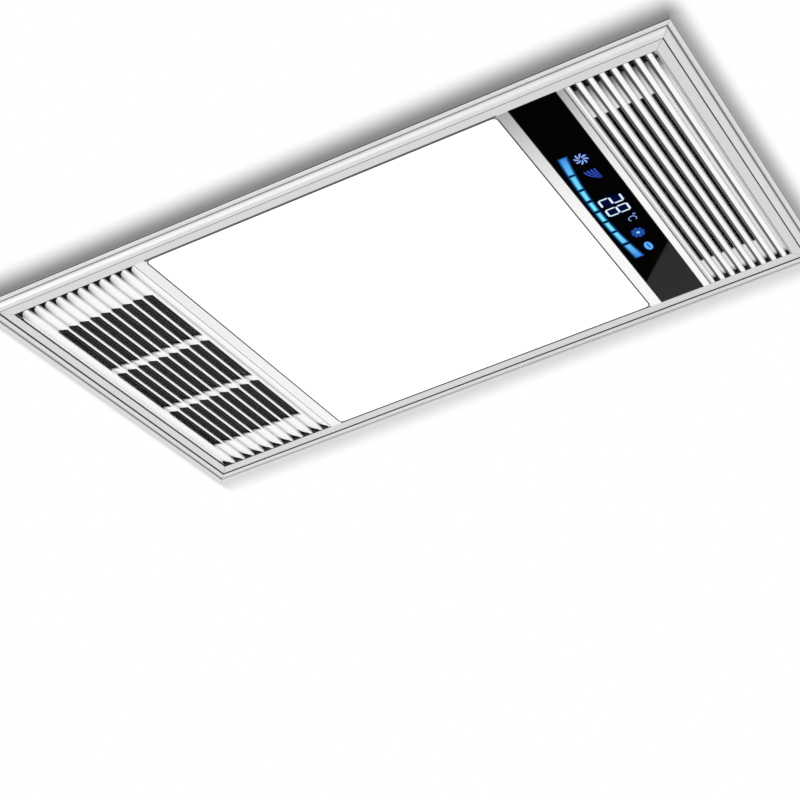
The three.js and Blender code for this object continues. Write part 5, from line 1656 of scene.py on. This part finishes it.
@dataclass
class DuctOutlet(SubAssembly):
    """The round spigot with its bead, and the two wings of its backdraught shutter."""

    wall_x: float = -215.0
    level: float = 126.0
    inner: float = 47.5
    outer: float = 49.0
    flange: float = 53.5
    rivet_circle: float = 51.3
    sheet: float = 1.5
    length: float = 34.0
    bead_at: float = 28.0
    bead_half: float = 1.5
    bead_height: float = 1.4
    bead_steps: int = 8
    pin_x: float = -227.0
    pin_radius: float = 1.5
    wing_radius: float = 45.5
    wing_sheet: float = 1.2
    wing_sides: int = 72
    rim: float = 1.2
    rim_height: float = 0.4
    rim_depth: float = 0.24
    pin_clear: float = 4.3
    tab: Pair = (2.6, 5.3)  # from and to, off the pin
    tab_share: float = 0.9  # of the wing's thickness
    knuckle: float = 3.3
    bore: float = 1.9
    knuckle_span: Pair = (1.0, 21.75)  # from and to, off the spigot's middle

    def build(self) -> None:
        """Makes the spigot and the wings."""
        self.hand_over(self._spigot(), Slot.ZINC, "duct_spigot")
        turns = [math.radians(30 + 60 * i) for i in range(6)]
        self.rivets("spigot_rivets", [
            ((self.wall_x - self.sheet, self.rivet_circle * math.cos(turn),
              self.level + self.rivet_circle * math.sin(turn)), (-1, 0, 0)) for turn in turns], 1.4)
        for side, name in ((-1, "near"), (1, "far")):
            self.hand_over(self._wing(side, name), Slot.ALUMINIUM, f"shutter_wing_{name}", body=f"wing_{name}")

    def _spigot(self) -> Workpiece:
        """The spun tube with its flange and bead, and the pin across it."""
        rings = [(self.inner, 0), (self.flange, 0), (self.flange, self.sheet), (self.outer + 0.8, self.sheet),
                 (self.outer + 0.2, self.sheet + 0.25), (self.outer, self.sheet + 0.8)]
        for i in range(self.bead_steps + 1):
            turn = math.pi * i / self.bead_steps
            rings.append((self.outer + self.bead_height * math.sin(turn),
                          self.bead_at - self.bead_half * math.cos(turn)))
        rings += [(self.outer, self.length - 0.5), (self.outer - 0.5, self.length), (self.inner, self.length)]
        tube = Workpiece.turned("duct_spigot_spun", rings, 96, (self.wall_x, 0, self.level), (-1, 0, 0), hollow=True)
        reach = self.inner + self.sheet / 2
        pin = Workpiece.rod("pin", self.pin_radius, (self.pin_x, 0, self.level - reach),
                            (self.pin_x, 0, self.level + reach), 20)
        return tube.with_pieces([pin]).smooth(40)

    def _wing(self, side: int, name: str) -> Workpiece:
        """Half a disc with a pressed rim, its tab and the knuckle that turns on the pin.

        Args:
            side: -1 for the near wing, 1 for the far wing.
            name: near or far.

        Returns:
            The wing.
        """
        half, x, z = self.wing_sheet / 2, self.pin_x, self.level
        wing = Workpiece.rod(f"shutter_wing_{name}_pressed", self.wing_radius, (x - half, 0, z), (x + half, 0, z),
                             self.wing_sides)
        with wing.editing():
            bpy.ops.mesh.select_all(action="SELECT")
            bpy.ops.mesh.bisect(plane_co=(0, side * self.pin_clear * MM, 0), plane_no=(0, side, 0), use_fill=True,
                                clear_inner=True)
            bpy.ops.mesh.select_all(action="SELECT")
            bpy.ops.mesh.remove_doubles(threshold=WELD)
            for face in (-1, 1):
                wing.pick(lambda _, way: way.x * face > PARALLEL)
                bpy.ops.mesh.inset(thickness=self.rim * MM, depth=0)
                bpy.ops.mesh.inset(thickness=self.rim_height * MM, depth=-self.rim_depth * MM)
        low, high = (z + at for at in beside(side, self.knuckle_span))
        near, far = beside(side, self.tab)
        half *= self.tab_share
        tab = Workpiece.block("tab", (x - half, near, low), (x + half, far, high))
        barrel = Workpiece.turned("barrel", [(self.bore, low), (self.knuckle, low), (self.knuckle, high),
                                             (self.bore, high)], 24, (x, 0, 0), hollow=True)
        return wing.with_pieces([tab, barrel]).smooth(35)


@dataclass
class HeaterSection(SubAssembly):
    """The heater duct, the heating element, the changeover damper and the swing vanes."""

    def build(self) -> None:
        """Makes the section."""
        self.dress(Slot.ZINC, 0.3, "heater_duct", "heater_deck")
        self.dress(Slot.ALUMINIUM, 0.0, "heater_core")
        self.dress(Slot.WHITE, 1.0, "heater_end_cap_near", "heater_end_cap_far", steps=3)
        self.dress(Slot.BLACK, 0.5, "thermal_cutout", "vane_motor", "damper_motor")
        self.dress(Slot.BLACK, 0.3, "vane_frame")
        self.dress(Slot.ALUMINIUM, 0.25, "changeover_damper", body="damper")
        for i in (1, 2, 3):
            self.dress(Slot.BLACK, 0.1, f"swing_vane_{i}", body=f"vane_{i}")
        self.dress(Slot.WHITE, 0.3, "vane_link", body="link")


@dataclass
class Blower(SubAssembly):
    """The scroll, the fan wheel with its motor, and the straps that hang them from the roof."""

    def build(self) -> None:
        """Makes the blower."""
        self.dress(Slot.WHITE, 0.4, "scroll_shell", "scroll_cover")
        self.dress(Slot.BLACK, 0.0, "fan_wheel", body="fan")
        self.dress(Slot.STEEL, 0.2, "motor_shaft", "shaft_nut", body="fan")
        self.dress(Slot.STEEL, 0.4, "fan_motor")
        self.dress(Slot.ZINC, 0.3, "motor_bracket", *(f"blower_strap_{i}" for i in (1, 2, 3)))


@dataclass
class Terminals(SubAssembly):
    """The terminal box outside the extraction end, with its cover and cable gland."""

    box_x: Pair = (215.0, 233.0)
    y: Pair = (-101.0, -39.0)
    z: Pair = (72.0, 130.0)
    cover_x: Pair = (233.3, 234.9)
    cover_field: float = 11.0  # how far in its pressed field begins
    cover_press: float = 0.6
    cover_corner: float = 2.4
    screw_inset: float = 6.0
    grip_rings: Pair = (6.4, 7.1)
    grip_levels: Pair = (4.6, 10.2)  # off the box's top
    ribs: int = 24
    rib_height: float = 0.45

    def build(self) -> None:
        """Makes the box and what belongs to it."""
        self.dress(Slot.GREY, 0, "terminal_box")
        self.hand_over(self._cover(), Slot.GREY, "terminal_cover")
        ys, zs = ((low + self.screw_inset, high - self.screw_inset) for low, high in (self.y, self.z))
        self.screws("terminal_cover_screws", [((self.cover_x[1], y, z), (1, 0, 0)) for y in ys for z in zs], 2.4)
        self.dress(Slot.WHITE, 0.4, "terminal_block")
        self.dress(Slot.BLACK, 0, "cable_gland")
        self.hand_over(self._grip(), Slot.BLACK)

    def _cover(self) -> Workpiece:
        """The cover, with a pressed field and rounded corners."""
        low, high = zip(self.cover_x, self.y, self.z)
        cover = Workpiece.block("terminal_cover_pressed", low, high)
        with cover.editing():
            cover.pick(lambda _, way: way.x > PARALLEL)
            bpy.ops.mesh.inset(thickness=self.cover_field * MM, depth=0)
            bpy.ops.mesh.inset(thickness=self.cover_press * MM, depth=-self.cover_press * MM)
        return cover.rounded_along(0, self.cover_corner, 5).rounded(0.3, 2)

    def _grip(self) -> Workpiece:
        """The ribs round the gland's nut."""
        x, y = sum(self.box_x) / 2, sum(self.y) / 2
        (inner, outer), (low, high) = self.grip_rings, self.grip_levels
        grip = Workpiece.turned("gland_grip", [(inner, low), (outer, low), (outer, high), (inner, high)],
                                2 * self.ribs, (x, y, self.z[1]), hollow=True)

        def rib(middle: Vector, way: Vector) -> bool:
            """Whether a face is every second one of the outside."""
            out = Vector((middle.x - x, middle.y - y, 0))
            turn = math.atan2(out.y, out.x) % (2 * math.pi) * self.ribs / math.pi
            return abs(way.z) < 0.1 and way.dot(out) > 0 and int(turn) % 2 == 0

        with grip.editing():
            grip.pick(rib)
            bpy.ops.mesh.extrude_region_shrink_fatten(TRANSFORM_OT_shrink_fatten={"value": self.rib_height * MM})
        return grip.smooth(30)


@dataclass
class ControlBoard(SubAssembly):
    """The control board and its carrier inside the extraction end."""

    def build(self) -> None:
        """Makes the carrier and the board."""
        self.dress(Slot.BLACK, 0.3, "board_carrier")
        self.dress(Slot.CIRCUIT, 0.25, "control_board")


def main() -> None:
    """Builds the stage and each sub-assembly in order."""
    logging.basicConfig(level=logging.INFO, format="%(message)s")
    Studio().build()
    shop = PaintShop()
    for kind in (TrimFrame, FacePlate, HeaterGrille, ExhaustGrille, LightPanel, DisplayStrip, Housing, DuctOutlet,
                 HeaterSection, Blower, Terminals, ControlBoard):
        kind(shop).build()
        LOG.info("%s done", kind.__name__)


if __name__ == "__main__":
    main()
